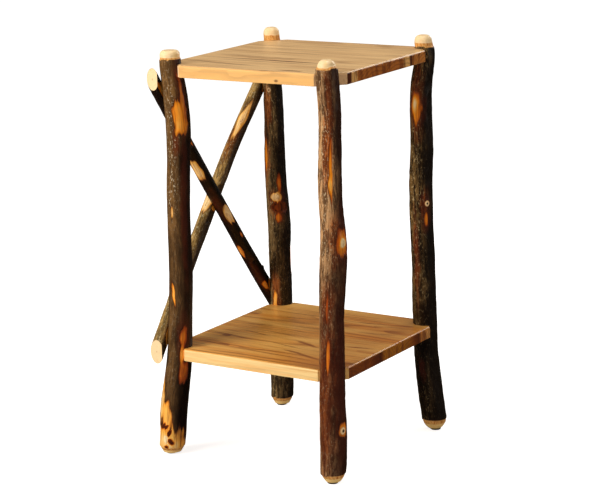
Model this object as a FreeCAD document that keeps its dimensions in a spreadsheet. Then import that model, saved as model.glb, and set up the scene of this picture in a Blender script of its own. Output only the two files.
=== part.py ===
"""Rustic two-tier table: two edge-glued hickory boards carried by four bark-on hickory
saplings, with two thinner sticks crossed on the outside of the left-hand pair of legs.

Millimetres. +X runs to the right along the front edge, +Y to the back, +Z up. The origin is
on the floor, under the middle of the whole table's bounding box.

Every board corner is clipped at 45 degrees. Each leg stands across a clip, and is notched on
the side that faces the middle of the table, so that the clipped corner enters the leg. A
pocket screw, driven from underneath, holds each corner.
"""
import FreeCAD
import Part
import math
import os

import Sketcher

Vector = FreeCAD.Vector
Placement = FreeCAD.Placement
Rotation = FreeCAD.Rotation

SIZES = {
    # boards
    "board_thick": 22.0,
    "top_width": 356.0,
    "top_depth": 381.0,
    "top_clip": 42.0,
    "shelf_width": 362.0,
    "shelf_depth": 384.0,
    "shelf_clip": 40.0,
    "shelf_height": 207.5,
    "tier_gap": 520.0,
    "upper_round": 4.5,
    "lower_round": 1.2,
    # legs: how far each axis stands outside the clip, and the ends
    "leg_diameter": 42.0,
    "top_seat_out": 7.5,
    "shelf_seat_out": 2.0,
    "leg_stand": 24.0,
    "cap_round": 9.0,
    "foot_bevel_in": 5.0,
    "foot_bevel_up": 11.0,
    "notch_gap": 0.1,
    # crossed sticks
    "stick_diameter": 26.0,
    "inner_front_overhang": 24.0,
    "inner_back_overhang": 32.0,
    "outer_front_overhang": 32.0,
    "outer_back_overhang": 30.0,
    "stick_shave": 3.0,
    "leg_shave": 2.0,
    "brace_bow": 4.5,
    # pocket screws, brace screws and the screw at the crossing
    "screw_shank": 4.2,
    "screw_head": 9.0,
    "head_thick": 2.4,
    "screw_tip": 4.0,
    "drive_square": 2.6,
    "drive_deep": 1.2,
    "pocket_grip": 16.0,
    "pocket_length": 32.0,
    "pocket_bore": 9.8,
    "brace_length": 50.0,
    "crossing_length": 42.0,
    "head_sink": 2.6,
    "screw_gap": 0.1,
    # glides under the feet
    "glide_diameter": 20.0,
    "glide_thick": 4.0,
    "glide_bevel": 1.0,
    "nail_diameter": 2.4,
    "nail_length": 18.0,
    "nail_in_glide": 2.5,
    # how far a cutter reaches past the wood, and how closely curved faces are measured
    "overrun": 60.0,
    "measure_step": 0.1,
}
ANGLES = {
    "shelf_twist": -1.5,
    "pocket_angle": 15.0,
}

CORNERS = {
    "front_left": (-1, -1),
    "front_right": (1, -1),
    "back_right": (1, 1),
    "back_left": (-1, 1),
}

# A screw head's crown and rim, as shares of its radius and its thickness.
HEAD_CROWN_SHARE = 0.7
HEAD_RIM_SHARE = 0.4

# Seams of the glued-up boards, from the middle, as shares of the board's depth.
TOP_SEAM_SHARES = (-0.30, -0.03, 0.24)
SHELF_SEAM_SHARES = (-0.28, 0.03, 0.30)
STAVES = ("front", "front_middle", "back_middle", "back")

# Natural shape of each sapling: height as a share of the leg's length, then the bow to +X
# and to +Y and the girth, as shares of the leg's diameter.
LEG_SHARES = {
    "front_left": (
        (0.00, -0.62, -0.04, 1.13),
        (0.07, -0.48, -0.04, 1.19),
        (0.15, -0.30, -0.04, 1.18),
        (0.24, -0.06, -0.01, 1.09),
        (0.34, 0.04, 0.02, 1.02),
        (0.45, 0.11, 0.07, 1.02),
        (0.58, 0.10, 0.06, 0.99),
        (0.70, 0.14, 0.08, 0.99),
        (0.82, 0.19, 0.11, 1.04),
        (0.93, 0.05, 0.02, 0.97),
        (1.00, -0.06, -0.03, 0.88),
    ),
    "front_right": (
        (0.00, -0.03, -0.17, 1.00),
        (0.08, 0.00, -0.10, 1.10),
        (0.16, -0.03, -0.07, 1.06),
        (0.26, -0.05, -0.04, 1.02),
        (0.37, -0.06, -0.03, 0.98),
        (0.46, -0.03, -0.02, 1.04),
        (0.54, 0.02, 0.01, 1.08),
        (0.61, 0.00, 0.00, 0.99),
        (0.68, -0.07, -0.04, 0.94),
        (0.80, -0.07, -0.04, 0.90),
        (0.92, -0.12, -0.07, 0.90),
        (1.00, -0.19, -0.11, 0.83),
    ),
    "back_right": (
        (0.00, 0.41, 0.02, 1.11),
        (0.06, 0.27, 0.00, 1.10),
        (0.12, 0.13, -0.03, 1.09),
        (0.19, 0.01, -0.04, 1.07),
        (0.30, -0.07, -0.05, 1.05),
        (0.45, -0.11, -0.06, 1.02),
        (0.63, -0.17, -0.09, 1.01),
        (0.72, -0.12, -0.07, 0.99),
        (0.80, -0.13, -0.08, 0.97),
        (0.90, -0.07, -0.04, 0.91),
        (1.00, -0.05, -0.03, 0.83),
    ),
    "back_left": (
        (0.00, -0.03, -0.02, 1.00),
        (0.06, 0.00, 0.00, 1.03),
        (0.18, 0.03, 0.02, 0.99),
        (0.30, 0.06, 0.03, 0.98),
        (0.42, 0.05, 0.03, 1.01),
        (0.50, 0.06, 0.04, 1.02),
        (0.58, 0.00, 0.00, 0.97),
        (0.66, -0.02, -0.01, 0.93),
        (0.80, -0.01, 0.00, 0.87),
        (0.92, -0.01, -0.01, 0.80),
        (1.00, -0.02, -0.01, 0.76),
    ),
}

# Heights of the sticks' ends above the shelf, as shares of the gap between the tiers.
INNER_FRONT_SHARE = 0.95
INNER_BACK_SHARE = -0.024
OUTER_FRONT_SHARE = -0.021
OUTER_BACK_SHARE = 0.917

# Natural shape of each stick, from its lower end: place along the stick as a share of its
# length, how far it has gone from the legs' side to the crossing, the bow in the plane of
# the brace and the girth as shares of the stick's diameter.
INNER_SHARES = (
    (-0.04, 0.0, 0.00, 1.03),
    (0.09, 0.0, -0.12, 1.02),
    (0.25, 0.65, -0.30, 0.98),
    (0.46, 1.0, -0.39, 0.91),
    (0.68, 0.6, -0.32, 0.92),
    (0.91, 0.0, -0.10, 0.93),
    (1.04, 0.0, 0.00, 0.92),
)
OUTER_SHARES = (
    (-0.04, 0.0, -0.06, 1.06),
    (0.09, 0.0, -0.15, 1.06),
    (0.26, 0.65, -0.15, 1.03),
    (0.46, 1.0, 0.02, 1.02),
    (0.66, 0.65, -0.12, 0.99),
    (0.90, 0.0, -0.05, 1.00),
    (1.04, 0.0, 0.00, 1.00),
)
# The shaved seats, as shares of the stick's length each way from their middle.
SEAT_REACH_SHARE = 0.14
CROSS_REACH_SHARE = 0.05
# Height of the flat on a leg that a stick lies on, as a share of the leg's diameter.
LEG_FLAT_SHARE = 1.6
# The whittled rounding of a leg's top turns through these angles, in degrees.
CAP_ANGLES = (30, 60, 90)

doc = FreeCAD.newDocument("RusticTable")
sheet = doc.addObject("Spreadsheet::Sheet", "Sizes")


def fill_sheet():
    """Write every driving dimension into the sheet, as a plain number with an alias."""
    for row, (alias, number) in enumerate({**SIZES, **ANGLES}.items(), start=1):
        sheet.set("A%d" % row, alias)
        sheet.set("B%d" % row, str(number))
        sheet.setAlias("B%d" % row, alias)
    doc.recompute()


def value(formula):
    """The number that a formula of sheet cells has now."""
    return float(sheet.evalExpression(str(formula)))


def bind(obj, **formulas):
    """Bind properties to formulas; a double underscore in a name stands for a dot."""
    for name, formula in formulas.items():
        obj.setExpression(name.replace("__", "."), str(formula))


def place(obj, x=0, y=0, z=0, rotation=Rotation()):
    """Turn an object, and bind its position to three formulas."""
    obj.Placement = Placement(Vector(value(x), value(y), value(z)), rotation)
    bind(obj, Placement__Base__x=x, Placement__Base__y=y, Placement__Base__z=z)


# Heights and places that several pieces share, as formulas

TOP_FACE = "(Sizes.shelf_height + Sizes.tier_gap)"
LEVELS = {
    "top": {
        "face": TOP_FACE,
        "width": "Sizes.top_width",
        "depth": "Sizes.top_depth",
        "clip": "Sizes.top_clip",
        "out": "Sizes.top_seat_out",
        "twist": "0",
        "seams": TOP_SEAM_SHARES,
    },
    "shelf": {
        "face": "Sizes.shelf_height",
        "width": "Sizes.shelf_width",
        "depth": "Sizes.shelf_depth",
        "clip": "Sizes.shelf_clip",
        "out": "Sizes.shelf_seat_out",
        "twist": "Sizes.shelf_twist",
        "seams": SHELF_SEAM_SHARES,
    },
}
LEG_FOOT = "Sizes.glide_thick"
LEG_LENGTH = "(%s + Sizes.leg_stand - %s)" % (TOP_FACE, LEG_FOOT)
SHELF_MIDDLE = "(Sizes.shelf_height - Sizes.board_thick / 2)"


def clip_point(level, corner, out="0"):
    """Middle of a clip, or a point further out along its normal, in the board's own frame."""
    side_x, side_y = CORNERS[corner]
    half = "- {clip} / 2 + ({out}) * cos(45)".format(clip=level["clip"], out=out)
    x = "({0} * ({1} / 2 {2}))".format(side_x, level["width"], half)
    y = "({0} * ({1} / 2 {2}))".format(side_y, level["depth"], half)
    return x, y


def turned(x, y, twist):
    """A point of a board's own frame, after the board is turned about the table's axis."""
    return (
        "(({0}) * cos({2}) - ({1}) * sin({2}))".format(x, y, twist),
        "(({0}) * sin({2}) + ({1}) * cos({2}))".format(x, y, twist),
    )


def shares_at(table, place_share):
    """The rest of a row of a table of shares, read between its rows."""
    rows = sorted(table)
    for low, high in zip(rows, rows[1:]):
        if place_share <= high[0] or high is rows[-1]:
            part = (place_share - low[0]) / (high[0] - low[0])
            return [a + (b - a) * part for a, b in zip(low[1:], high[1:])]


def leg_axis(corner, height):
    """Where a leg's axis is at a height, and its diameter there, as formulas."""
    share = value("(%s - %s) / %s" % (height, LEG_FOOT, LEG_LENGTH))
    bow_x, bow_y, girth = shares_at(LEG_SHARES[corner], share)
    top_x, top_y = clip_point(LEVELS["top"], corner, LEVELS["top"]["out"])
    shelf = LEVELS["shelf"]
    shelf_x, shelf_y = turned(*clip_point(shelf, corner, shelf["out"]), shelf["twist"])
    blend = "max(0; (%s - %s) / Sizes.tier_gap)" % (height, SHELF_MIDDLE)
    line = "(({0}) * {2} + ({1}) * (1 - {2}) + {3:.4f} * Sizes.leg_diameter)"
    x = line.format(top_x, shelf_x, blend, bow_x)
    y = line.format(top_y, shelf_y, blend, bow_y)
    return x, y, "(%.4f * Sizes.leg_diameter)" % girth


# Sketches and features

def origin_plane(body, role):
    return next(item for item in body.Origin.OriginFeatures if item.Role == role)


def sketch_on(body, name, role="XY_Plane", x=0, y=0, z=0):
    """A sketch on one of the body's own origin planes, offset by three formulas."""
    sketch = body.newObject("Sketcher::SketchObject", name)
    sketch.AttachmentSupport = (origin_plane(body, role), [""])
    sketch.MapMode = "FlatFace"
    bind(sketch, AttachmentOffset__Base__x=x, AttachmentOffset__Base__y=y,
         AttachmentOffset__Base__z=z)
    return sketch


def circle_in(sketch, diameter):
    """A circle about the sketch's origin, its diameter bound to a formula."""
    sketch.addGeometry(Part.Circle(Vector(), Vector(0, 0, 1), value(diameter) / 2))
    sketch.addConstraint(Sketcher.Constraint("Coincident", 0, 3, -1, 1))
    row = sketch.addConstraint(Sketcher.Constraint("Diameter", 0, value(diameter)))
    sketch.setExpression("Constraints[%d]" % row, diameter)


def pin_coordinate(sketch, kind, line, formula):
    """Fix one coordinate of a line's start by a formula, whichever side of zero it is."""
    number = value(formula)
    if number == 0:
        axis = -2 if kind == "DistanceX" else -1
        sketch.addConstraint(Sketcher.Constraint("PointOnObject", line, 1, axis))
        return
    if number > 0:
        row = sketch.addConstraint(Sketcher.Constraint(kind, -1, 1, line, 1, number))
        sketch.setExpression("Constraints[%d]" % row, formula)
    else:
        row = sketch.addConstraint(Sketcher.Constraint(kind, line, 1, -1, 1, -number))
        sketch.setExpression("Constraints[%d]" % row, "-(%s)" % formula)


def outline_in(sketch, corners):
    """A closed outline through corners given as pairs of formulas."""
    points = [Vector(value(x), value(y), 0) for x, y in corners]
    count = len(points)
    for index in range(count):
        sketch.addGeometry(Part.LineSegment(points[index], points[(index + 1) % count]))
    for index in range(count):
        sketch.addConstraint(
            Sketcher.Constraint("Coincident", index, 2, (index + 1) % count, 1))
    for index, (x, y) in enumerate(corners):
        pin_coordinate(sketch, "DistanceX", index, x)
        pin_coordinate(sketch, "DistanceY", index, y)


def turned_body(name, corners):
    """A body made by turning an outline about its own Z axis."""
    body = doc.addObject("PartDesign::Body", name)
    sketch = sketch_on(body, name + "_outline", "XZ_Plane")
    outline_in(sketch, corners)
    turn = body.newObject("PartDesign::Revolution", name + "_turned")
    turn.Profile = sketch
    turn.ReferenceAxis = (sketch, ["V_Axis"])
    turn.Angle = 360
    return body


def edges_where(shape, test):
    """Names of the edges of a shape that pass a test."""
    return ["Edge%d" % (index + 1) for index, edge in enumerate(shape.Edges) if test(edge)]


def box(name, x, y, z, length, width, height, rotation=Rotation()):
    """A block, placed by its lowest corner."""
    block = doc.addObject("Part::Box", name)
    bind(block, Length=length, Width=width, Height=height)
    place(block, x, y, z, rotation)
    return block


def rod(name, point, direction, radius, length):
    """A round bar from a point of formulas, along a direction of numbers."""
    bar = doc.addObject("Part::Cylinder", name)
    bind(bar, Radius=radius, Height=length)
    place(bar, *point, Rotation(Vector(0, 0, 1), direction))
    return bar


def fused(name, shapes):
    union = doc.addObject("Part::MultiFuse", name)
    union.Shapes = shapes
    return union


def cut(name, base, cutters):
    """A piece with everything that the cutters hold taken out of it."""
    piece = doc.addObject("Part::Cut", name)
    piece.Base = base
    piece.Tool = fused(name + "_cutters", cutters) if len(cutters) > 1 else cutters[0]
    return piece


def group(name, pieces):
    """Like pieces that share one node, as separate solids."""
    compound = doc.addObject("Part::Compound", name)
    compound.Links = pieces
    return compound


# Screws, and the holes for them

def screw(name, length, point, direction):
    """A screw whose head seats at a point: pan head, square drive, plain shank, cone tip."""
    head = "Sizes.screw_head / 2"
    shank = "Sizes.screw_shank / 2"
    body = turned_body(name, [
        ("0", "-Sizes.head_thick"),
        ("%s * %s" % (head, HEAD_CROWN_SHARE), "-Sizes.head_thick"),
        (head, "-Sizes.head_thick * %s" % HEAD_RIM_SHARE),
        (head, "0"),
        (shank, "0"),
        (shank, length + " - Sizes.screw_tip"),
        ("0", length),
    ])
    recess = sketch_on(body, name + "_drive", z="-Sizes.head_thick")
    half = "Sizes.drive_square / 2"
    outline_in(recess, [
        ("-" + half, "-" + half), (half, "-" + half), (half, half), ("-" + half, half)])
    drive = body.newObject("PartDesign::Pocket", name + "_recess")
    drive.Profile = recess
    drive.Reversed = True
    bind(drive, Length="Sizes.drive_deep")
    place(body, *point, Rotation(Vector(0, 0, 1), direction))
    return body


def screw_hole(name, length, point, direction):
    return rod(name, point, direction, "Sizes.screw_shank / 2 + Sizes.screw_gap",
               length + " + Sizes.screw_gap")


def head_hole(name, point, direction):
    """The wider hole that leads to the head, which runs back from its seat."""
    return rod(name, point, direction * -1, "Sizes.pocket_bore / 2", "Sizes.overrun")


def pocket_direction(corner):
    """A pocket screw points outwards across its corner, and up."""
    side_x, side_y = CORNERS[corner]
    tilt = math.radians(ANGLES["pocket_angle"])
    level_part = math.cos(tilt) * math.cos(math.radians(45))
    return Vector(side_x * level_part, side_y * level_part, math.sin(tilt))


def pocket_seat(level, corner):
    """Where a pocket screw's head seats, in the board's own frame."""
    x, y = clip_point(level, corner, "-Sizes.pocket_grip * cos(Sizes.pocket_angle)")
    z = "{face} - Sizes.board_thick / 2 - Sizes.pocket_grip * sin(Sizes.pocket_angle)"
    return x, y, z.format(face=level["face"])


# Boards

def board_outline(level):
    """The clipped rectangle of a board, from the front edge's right end, anticlockwise."""
    x, y, clip = level["width"] + " / 2", level["depth"] + " / 2", level["clip"]
    near_x, near_y = "(%s - %s)" % (x, clip), "(%s - %s)" % (y, clip)
    return near_x, near_y, "(%s)" % x, "(%s)" % y


def stave_outline(level, index):
    """A stave's corners: the end staves have two clips each, the others are plain."""
    near_x, near_y, x, y = board_outline(level)
    seams = ["({0} * {1})".format(share, level["depth"]) for share in level["seams"]]
    if index == 0:
        return [("-" + near_x, "-" + y), (near_x, "-" + y), (x, "-" + near_y),
                (x, seams[0]), ("-" + x, seams[0]), ("-" + x, "-" + near_y)]
    if index == len(seams):
        return [("-" + x, seams[-1]), (x, seams[-1]), (x, near_y),
                (near_x, y), ("-" + near_x, y), ("-" + x, near_y)]
    low, high = seams[index - 1], seams[index]
    return [("-" + x, low), (x, low), (x, high), ("-" + x, high)]


def stave(label, level, index, holes):
    """One board of a glued-up panel, its outer edges eased, with any screw pockets."""
    body = doc.addObject("PartDesign::Body", label + "_blank")
    sketch = sketch_on(body, label + "_outline", z=level["face"] + " - Sizes.board_thick")
    corners = stave_outline(level, index)
    outline_in(sketch, corners)
    pad = body.newObject("PartDesign::Pad", label + "_pad")
    pad.Profile = sketch
    bind(pad, Length="Sizes.board_thick")
    doc.recompute()

    seam_places = [value("%s * %s" % (share, level["depth"])) for share in level["seams"]]
    face_height = value(level["face"])
    under_height = value(level["face"] + " - Sizes.board_thick")
    near = value("Sizes.measure_step")

    def on_outside(edge, height):
        level_edge = all(abs(vertex.Z - height) < near for vertex in edge.Vertexes)
        on_seam = any(all(abs(vertex.Y - seam) < near for vertex in edge.Vertexes)
                      for seam in seam_places)
        return level_edge and not on_seam

    upper = body.newObject("PartDesign::Fillet", label + "_upper_round")
    upper.Base = (pad, edges_where(pad.Shape, lambda edge: on_outside(edge, face_height)))
    bind(upper, Radius="Sizes.upper_round")
    doc.recompute()
    lower = body.newObject("PartDesign::Fillet", label + "_lower_round")
    lower.Base = (upper, edges_where(upper.Shape, lambda edge: on_outside(edge, under_height)))
    bind(lower, Radius="Sizes.lower_round")

    if holes:
        return turn_with_board(cut(label, body, holes), level)
    body.Label = label
    return turn_with_board(body, level)


def turn_with_board(piece, level):
    piece.Placement = Placement(Vector(), Rotation(Vector(0, 0, 1), value(level["twist"])))
    return piece


def build_level(name):
    """The staves and the screws of one board, and the cutters that it makes in the legs."""
    level = LEVELS[name]
    screws, leg_cutters = [], {}
    board_holes = {"front": [], "back": []}
    for corner, (side_x, side_y) in CORNERS.items():
        seat = pocket_seat(level, corner)
        direction = pocket_direction(corner)
        title = "%s_%s" % (name, corner)
        screws.append(screw(title + "_screw", "Sizes.pocket_length", seat, direction))
        row = board_holes["front" if side_y < 0 else "back"]
        row.append(screw_hole(title + "_pilot", "Sizes.pocket_length", seat, direction))
        row.append(head_hole(title + "_pocket", seat, direction))
        cutters = [corner_notch(title, level, corner),
                   screw_hole(title + "_leg_pilot", "Sizes.pocket_length", seat, direction)]
        leg_cutters[corner] = turn_with_board(fused(title + "_leg_cutter", cutters), level)
    staves = []
    for index, stave_name in enumerate(STAVES):
        label = "%s_stave_%s" % (name, stave_name)
        staves.append(stave(label, level, index, board_holes.get(stave_name, [])))
    screw_group = turn_with_board(group(name + "_screws", screws), level)
    return staves, screw_group, leg_cutters


def corner_notch(title, level, corner):
    """The block of a board's clipped corner, with the gap round it, as a cutter for a leg."""
    side_x, side_y = CORNERS[corner]
    heading = math.degrees(math.atan2(side_y, side_x))
    across = "(2 * Sizes.overrun)"
    inward = "(Sizes.overrun + Sizes.notch_gap)"
    # the block's lowest corner: inward from the clip, and to its right-hand side
    mid_x, mid_y = clip_point(level, corner, "Sizes.notch_gap - " + inward)
    x = "%s + %s / 2 * %d * cos(45)" % (mid_x, across, side_y)
    y = "%s - %s / 2 * %d * cos(45)" % (mid_y, across, side_x)
    z = "%s - Sizes.board_thick - Sizes.notch_gap" % level["face"]
    return box(title + "_notch", x, y, z, inward, across,
               "Sizes.board_thick + 2 * Sizes.notch_gap", Rotation(Vector(0, 0, 1), heading))


# Legs

def girth_sketch(body, name, corner, height, less="0"):
    """The round section of a leg at a height, narrowed all round by a formula."""
    x, y, diameter = leg_axis(corner, height)
    sketch = sketch_on(body, name, x=x, y=y, z=height)
    circle_in(sketch, "(%s - 2 * (%s))" % (diameter, less))
    return sketch


def loft_through(body, name, sections, ruled):
    """A loft through sketches; one that comes out inside out starts from its other end."""
    loft = body.newObject("PartDesign::AdditiveLoft", name)
    loft.Ruled = ruled
    for order in (sections, sections[::-1]):
        loft.Profile = order[0]
        loft.Sections = order[1:]
        doc.recompute()
        if loft.AddSubShape.Volume > 0:
            return loft
    raise RuntimeError("%s is inside out" % name)


def sapling(corner):
    """A leg as it grew: a loft through its girths, whittled round on top and at the foot."""
    body = doc.addObject("PartDesign::Body", "sapling_" + corner)
    top = "(%s + %s)" % (LEG_FOOT, LEG_LENGTH)
    bevel_top = "(%s + Sizes.foot_bevel_up)" % LEG_FOOT
    cap_base = "(%s - Sizes.cap_round)" % top
    trunk = [girth_sketch(body, "girth_%s_low" % corner, corner, bevel_top)]
    for index, row in enumerate(LEG_SHARES[corner][1:-1]):
        height = "(%s + %.4f * %s)" % (LEG_FOOT, row[0], LEG_LENGTH)
        trunk.append(girth_sketch(body, "girth_%s_%d" % (corner, index), corner, height))
    trunk.append(girth_sketch(body, "girth_%s_high" % corner, corner, cap_base))
    loft_through(body, "trunk_" + corner, trunk, False)
    foot = girth_sketch(body, "foot_" + corner, corner, LEG_FOOT, "Sizes.foot_bevel_in")
    loft_through(body, "foot_bevel_" + corner, [foot, trunk[0]], True)
    facets = [trunk[-1]]
    for turn_angle in CAP_ANGLES:
        height = "(%s + Sizes.cap_round * sin(%d))" % (cap_base, turn_angle)
        less = "Sizes.cap_round * (1 - cos(%d))" % turn_angle
        facets.append(girth_sketch(body, "cap_%s_%d" % (corner, turn_angle), corner,
                                   height, less))
    loft_through(body, "cap_" + corner, facets, True)
    return body


# Crossed sticks

def brace_end(corner, height_share, overhang):
    """An end of a stick, as formulas of Y and Z: past its leg's axis, at a height."""
    height = "(Sizes.shelf_height + (%s) * Sizes.tier_gap)" % height_share
    _, y, _ = leg_axis(corner, height)
    side = CORNERS[corner][1]
    return "(%s + %d * %s)" % (y, side, overhang), height


def brace_seat(corner, height):
    """The plane, facing -X, of the flat on a leg that a stick lies on, and the leg's axis."""
    x, y, diameter = leg_axis(corner, height)
    return "(%s - %s / 2 + Sizes.leg_shave)" % (x, diameter), y


class Stick:
    """A stick's route: its two ends, its seats on two legs and its crossing."""

    def __init__(self, name, low_corner, low_share, low_overhang,
                 high_corner, high_share, high_overhang, table):
        self.name = name
        self.table = table
        self.corners = (low_corner, high_corner)
        self.low = brace_end(low_corner, low_share, low_overhang)
        self.high = brace_end(high_corner, high_share, high_overhang)
        rise = "(%s - %s)" % (self.high[1], self.low[1])
        run = "(%s - %s)" % (self.high[0], self.low[0])
        self.length = "sqrt(%s ^ 2 + %s ^ 2)" % (rise, run)
        self.lean = math.degrees(math.atan2(-value(run), value(rise)))
        self.seats = [self.seat_on(corner) for corner in self.corners]

    def seat_on(self, corner):
        """The seat's plane, with the place, as Y and Z, where the stick crosses the leg."""
        share = 0.0 if corner == self.corners[0] else 1.0
        for _ in range(4):
            height = value(self.low[1]) + share * (value(self.high[1]) - value(self.low[1]))
            y = value(leg_axis(corner, "%.4f" % height)[1])
            share = (y - value(self.low[0])) / (value(self.high[0]) - value(self.low[0]))
        height = "({0} + {2:.5f} * ({1} - {0}))".format(self.low[1], self.high[1], share)
        plane, y = brace_seat(corner, height)
        return {"plane": plane, "y": y, "z": height, "share": share, "corner": corner}

    def girth(self, share):
        return "(%.4f * Sizes.stick_diameter)" % shares_at(self.table, share)[-1]

    def centre_at_seat(self, seat):
        return "(%s - %s / 2 + Sizes.stick_shave)" % (seat["plane"], self.girth(seat["share"]))

    def point(self, share):
        """The middle of the stick in the plane of the brace, as numbers."""
        bow = shares_at(self.table, share)[1] * value("Sizes.stick_diameter")
        low = [value(number) for number in self.low]
        high = [value(number) for number in self.high]
        lean = math.radians(self.lean)
        y = low[0] + share * (high[0] - low[0]) + bow * math.cos(lean)
        z = low[1] + share * (high[1] - low[1]) + bow * math.sin(lean)
        return y, z


def crossing_of(first, second, steps=200):
    """The shares of two sticks' lengths at which they pass closest, in the brace's plane."""
    best = None
    for index in range(steps + 1):
        y, z = first.point(index / steps)
        low, high = value(second.low[0]), value(second.high[0])
        share = (y - low) / (high - low)
        gap = abs(second.point(share)[1] - z)
        if best is None or gap < best[0]:
            best = (gap, index / steps, share)
    return best[1], best[2]


def stick_body(stick, middle_x, cross_share, cross_plane, cross_side):
    """The stick as it grew, in a frame whose Z runs along it, with its shaved flats."""
    body = doc.addObject("PartDesign::Body", stick.name + "_grown")
    low_x, high_x = [stick.centre_at_seat(seat) for seat in stick.seats]
    low_share, high_share = [seat["share"] for seat in stick.seats]
    sections = []
    for index, (share, toward, bow, girth) in enumerate(stick.table):
        along = (share - low_share) / (high_share - low_share)
        line_x = "({0} + {2:.4f} * ({1} - {0}))".format(low_x, high_x, along)
        x = "({0} + {2} * ({1} - {0}))".format(line_x, middle_x, toward)
        sketch = sketch_on(body, "%s_girth_%d" % (stick.name, index), x=x,
                           y="%s * Sizes.stick_diameter" % bow,
                           z="%s * %s" % (share, stick.length))
        circle_in(sketch, "(%s * Sizes.stick_diameter)" % girth)
        sections.append(sketch)
    loft_through(body, stick.name + "_loft", sections, False)
    flats = [(seat["plane"], seat["share"], SEAT_REACH_SHARE, 1) for seat in stick.seats]
    flats.append((cross_plane, cross_share, CROSS_REACH_SHARE, cross_side))
    for index, (plane, share, reach, side) in enumerate(flats):
        shave(body, "%s_flat_%d" % (stick.name, index), stick, plane, share, reach, side)
    place(body, 0, stick.low[0], stick.low[1], Rotation(Vector(1, 0, 0), stick.lean))
    return body


def shave(body, name, stick, plane, share, reach, side):
    """Take off what stands past a plane that faces +X or -X, for a stretch of the stick."""
    wide = "Sizes.overrun"
    sketch = sketch_on(body, name + "_sketch", x=plane,
                       z="%.4f * %s" % (share - reach, stick.length))
    far = wide if side > 0 else "-" + wide
    outline_in(sketch, [("0", "-" + wide), (far, "-" + wide), (far, wide), ("0", wide)])
    pocket = body.newObject("PartDesign::Pocket", name)
    pocket.Profile = sketch
    pocket.Reversed = True
    bind(pocket, Length="%.4f * %s" % (2 * reach, stick.length))


def between_ends(stick, body):
    """The stick with its ends sawn off upright, square to the side of the table."""
    ends = sorted([stick.low[0], stick.high[0]], key=value)
    reach = "(2 * Sizes.tier_gap)"
    slab = box(stick.name + "_between_saw_cuts", "-" + reach, ends[0], "-" + reach,
               "2 * " + reach, "%s - %s" % (ends[1], ends[0]), "2 * " + reach)
    kept = doc.addObject("Part::Common", stick.name + "_sawn")
    kept.Base = body
    kept.Tool = slab
    return kept


def build_brace():
    """Both sticks, their screws, and the flats and holes that they need in the legs."""
    inner = Stick("brace_stick_inner", "back_left", INNER_BACK_SHARE, "Sizes.inner_back_overhang",
                  "front_left", INNER_FRONT_SHARE, "Sizes.inner_front_overhang", INNER_SHARES)
    outer = Stick("brace_stick_outer", "front_left", OUTER_FRONT_SHARE, "Sizes.outer_front_overhang",
                  "back_left", OUTER_BACK_SHARE, "Sizes.outer_back_overhang", OUTER_SHARES)
    inner_cross, outer_cross = crossing_of(inner, outer)
    inner_ends = [inner.centre_at_seat(seat) for seat in inner.seats]
    inner_x = "((%s + %s) / 2 + Sizes.brace_bow)" % tuple(inner_ends)
    cross_plane = "(%s - %s / 2 + Sizes.stick_shave)" % (inner_x, inner.girth(inner_cross))
    outer_x = "(%s - %s / 2 + Sizes.stick_shave)" % (cross_plane, outer.girth(outer_cross))
    cross_y, cross_z = inner.point(inner_cross)

    into_table = Vector(1, 0, 0)
    brace_cutters = {corner: [] for corner in CORNERS}
    screws, sticks = [], []
    crossing = (outer_x + " - " + outer.girth(outer_cross) + " / 2 + Sizes.head_sink",
                "%.4f" % cross_y, "%.4f" % cross_z)
    crossing_screw = group("crossing_screw", [
        screw("crossing_screw_turned", "Sizes.crossing_length", crossing, into_table)])

    for stick, middle_x, cross_share, cross_side in (
            (inner, inner_x, inner_cross, -1), (outer, outer_x, outer_cross, 1)):
        sawn = between_ends(stick, stick_body(stick, middle_x, cross_share, cross_plane,
                                              cross_side))
        holes = [screw_hole(stick.name + "_crossing_hole", "Sizes.crossing_length",
                            crossing, into_table)]
        if stick is outer:
            holes.append(head_hole(stick.name + "_crossing_sink", crossing, into_table))
        for seat in stick.seats:
            title = "%s_%s" % (stick.name, seat["corner"])
            head_x = "(%s - %s / 2 + Sizes.head_sink)" % (
                stick.centre_at_seat(seat), stick.girth(seat["share"]))
            point = (head_x, seat["y"], seat["z"])
            screws.append(screw(title + "_screw", "Sizes.brace_length", point, into_table))
            holes.append(screw_hole(title + "_hole", "Sizes.brace_length", point, into_table))
            holes.append(head_hole(title + "_sink", point, into_table))
            cutters = brace_cutters[seat["corner"]]
            cutters.append(screw_hole(title + "_leg_hole", "Sizes.brace_length",
                                      point, into_table))
            cutters.append(leg_flat(title + "_leg_flat", seat))
        sticks.append(cut(stick.name, sawn, holes))
    return sticks, group("brace_screws", screws), crossing_screw, brace_cutters


def leg_flat(name, seat):
    """The block that takes a flat off the outside of a leg, where a stick lies on it."""
    deep = "Sizes.overrun"
    height = "(%s * Sizes.leg_diameter)" % LEG_FLAT_SHARE
    return box(name, "%s - %s" % (seat["plane"], deep), "%s - %s" % (seat["y"], deep),
               "%s - %s / 2" % (seat["z"], height), deep, "2 * " + deep, height)


# Glides

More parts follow.
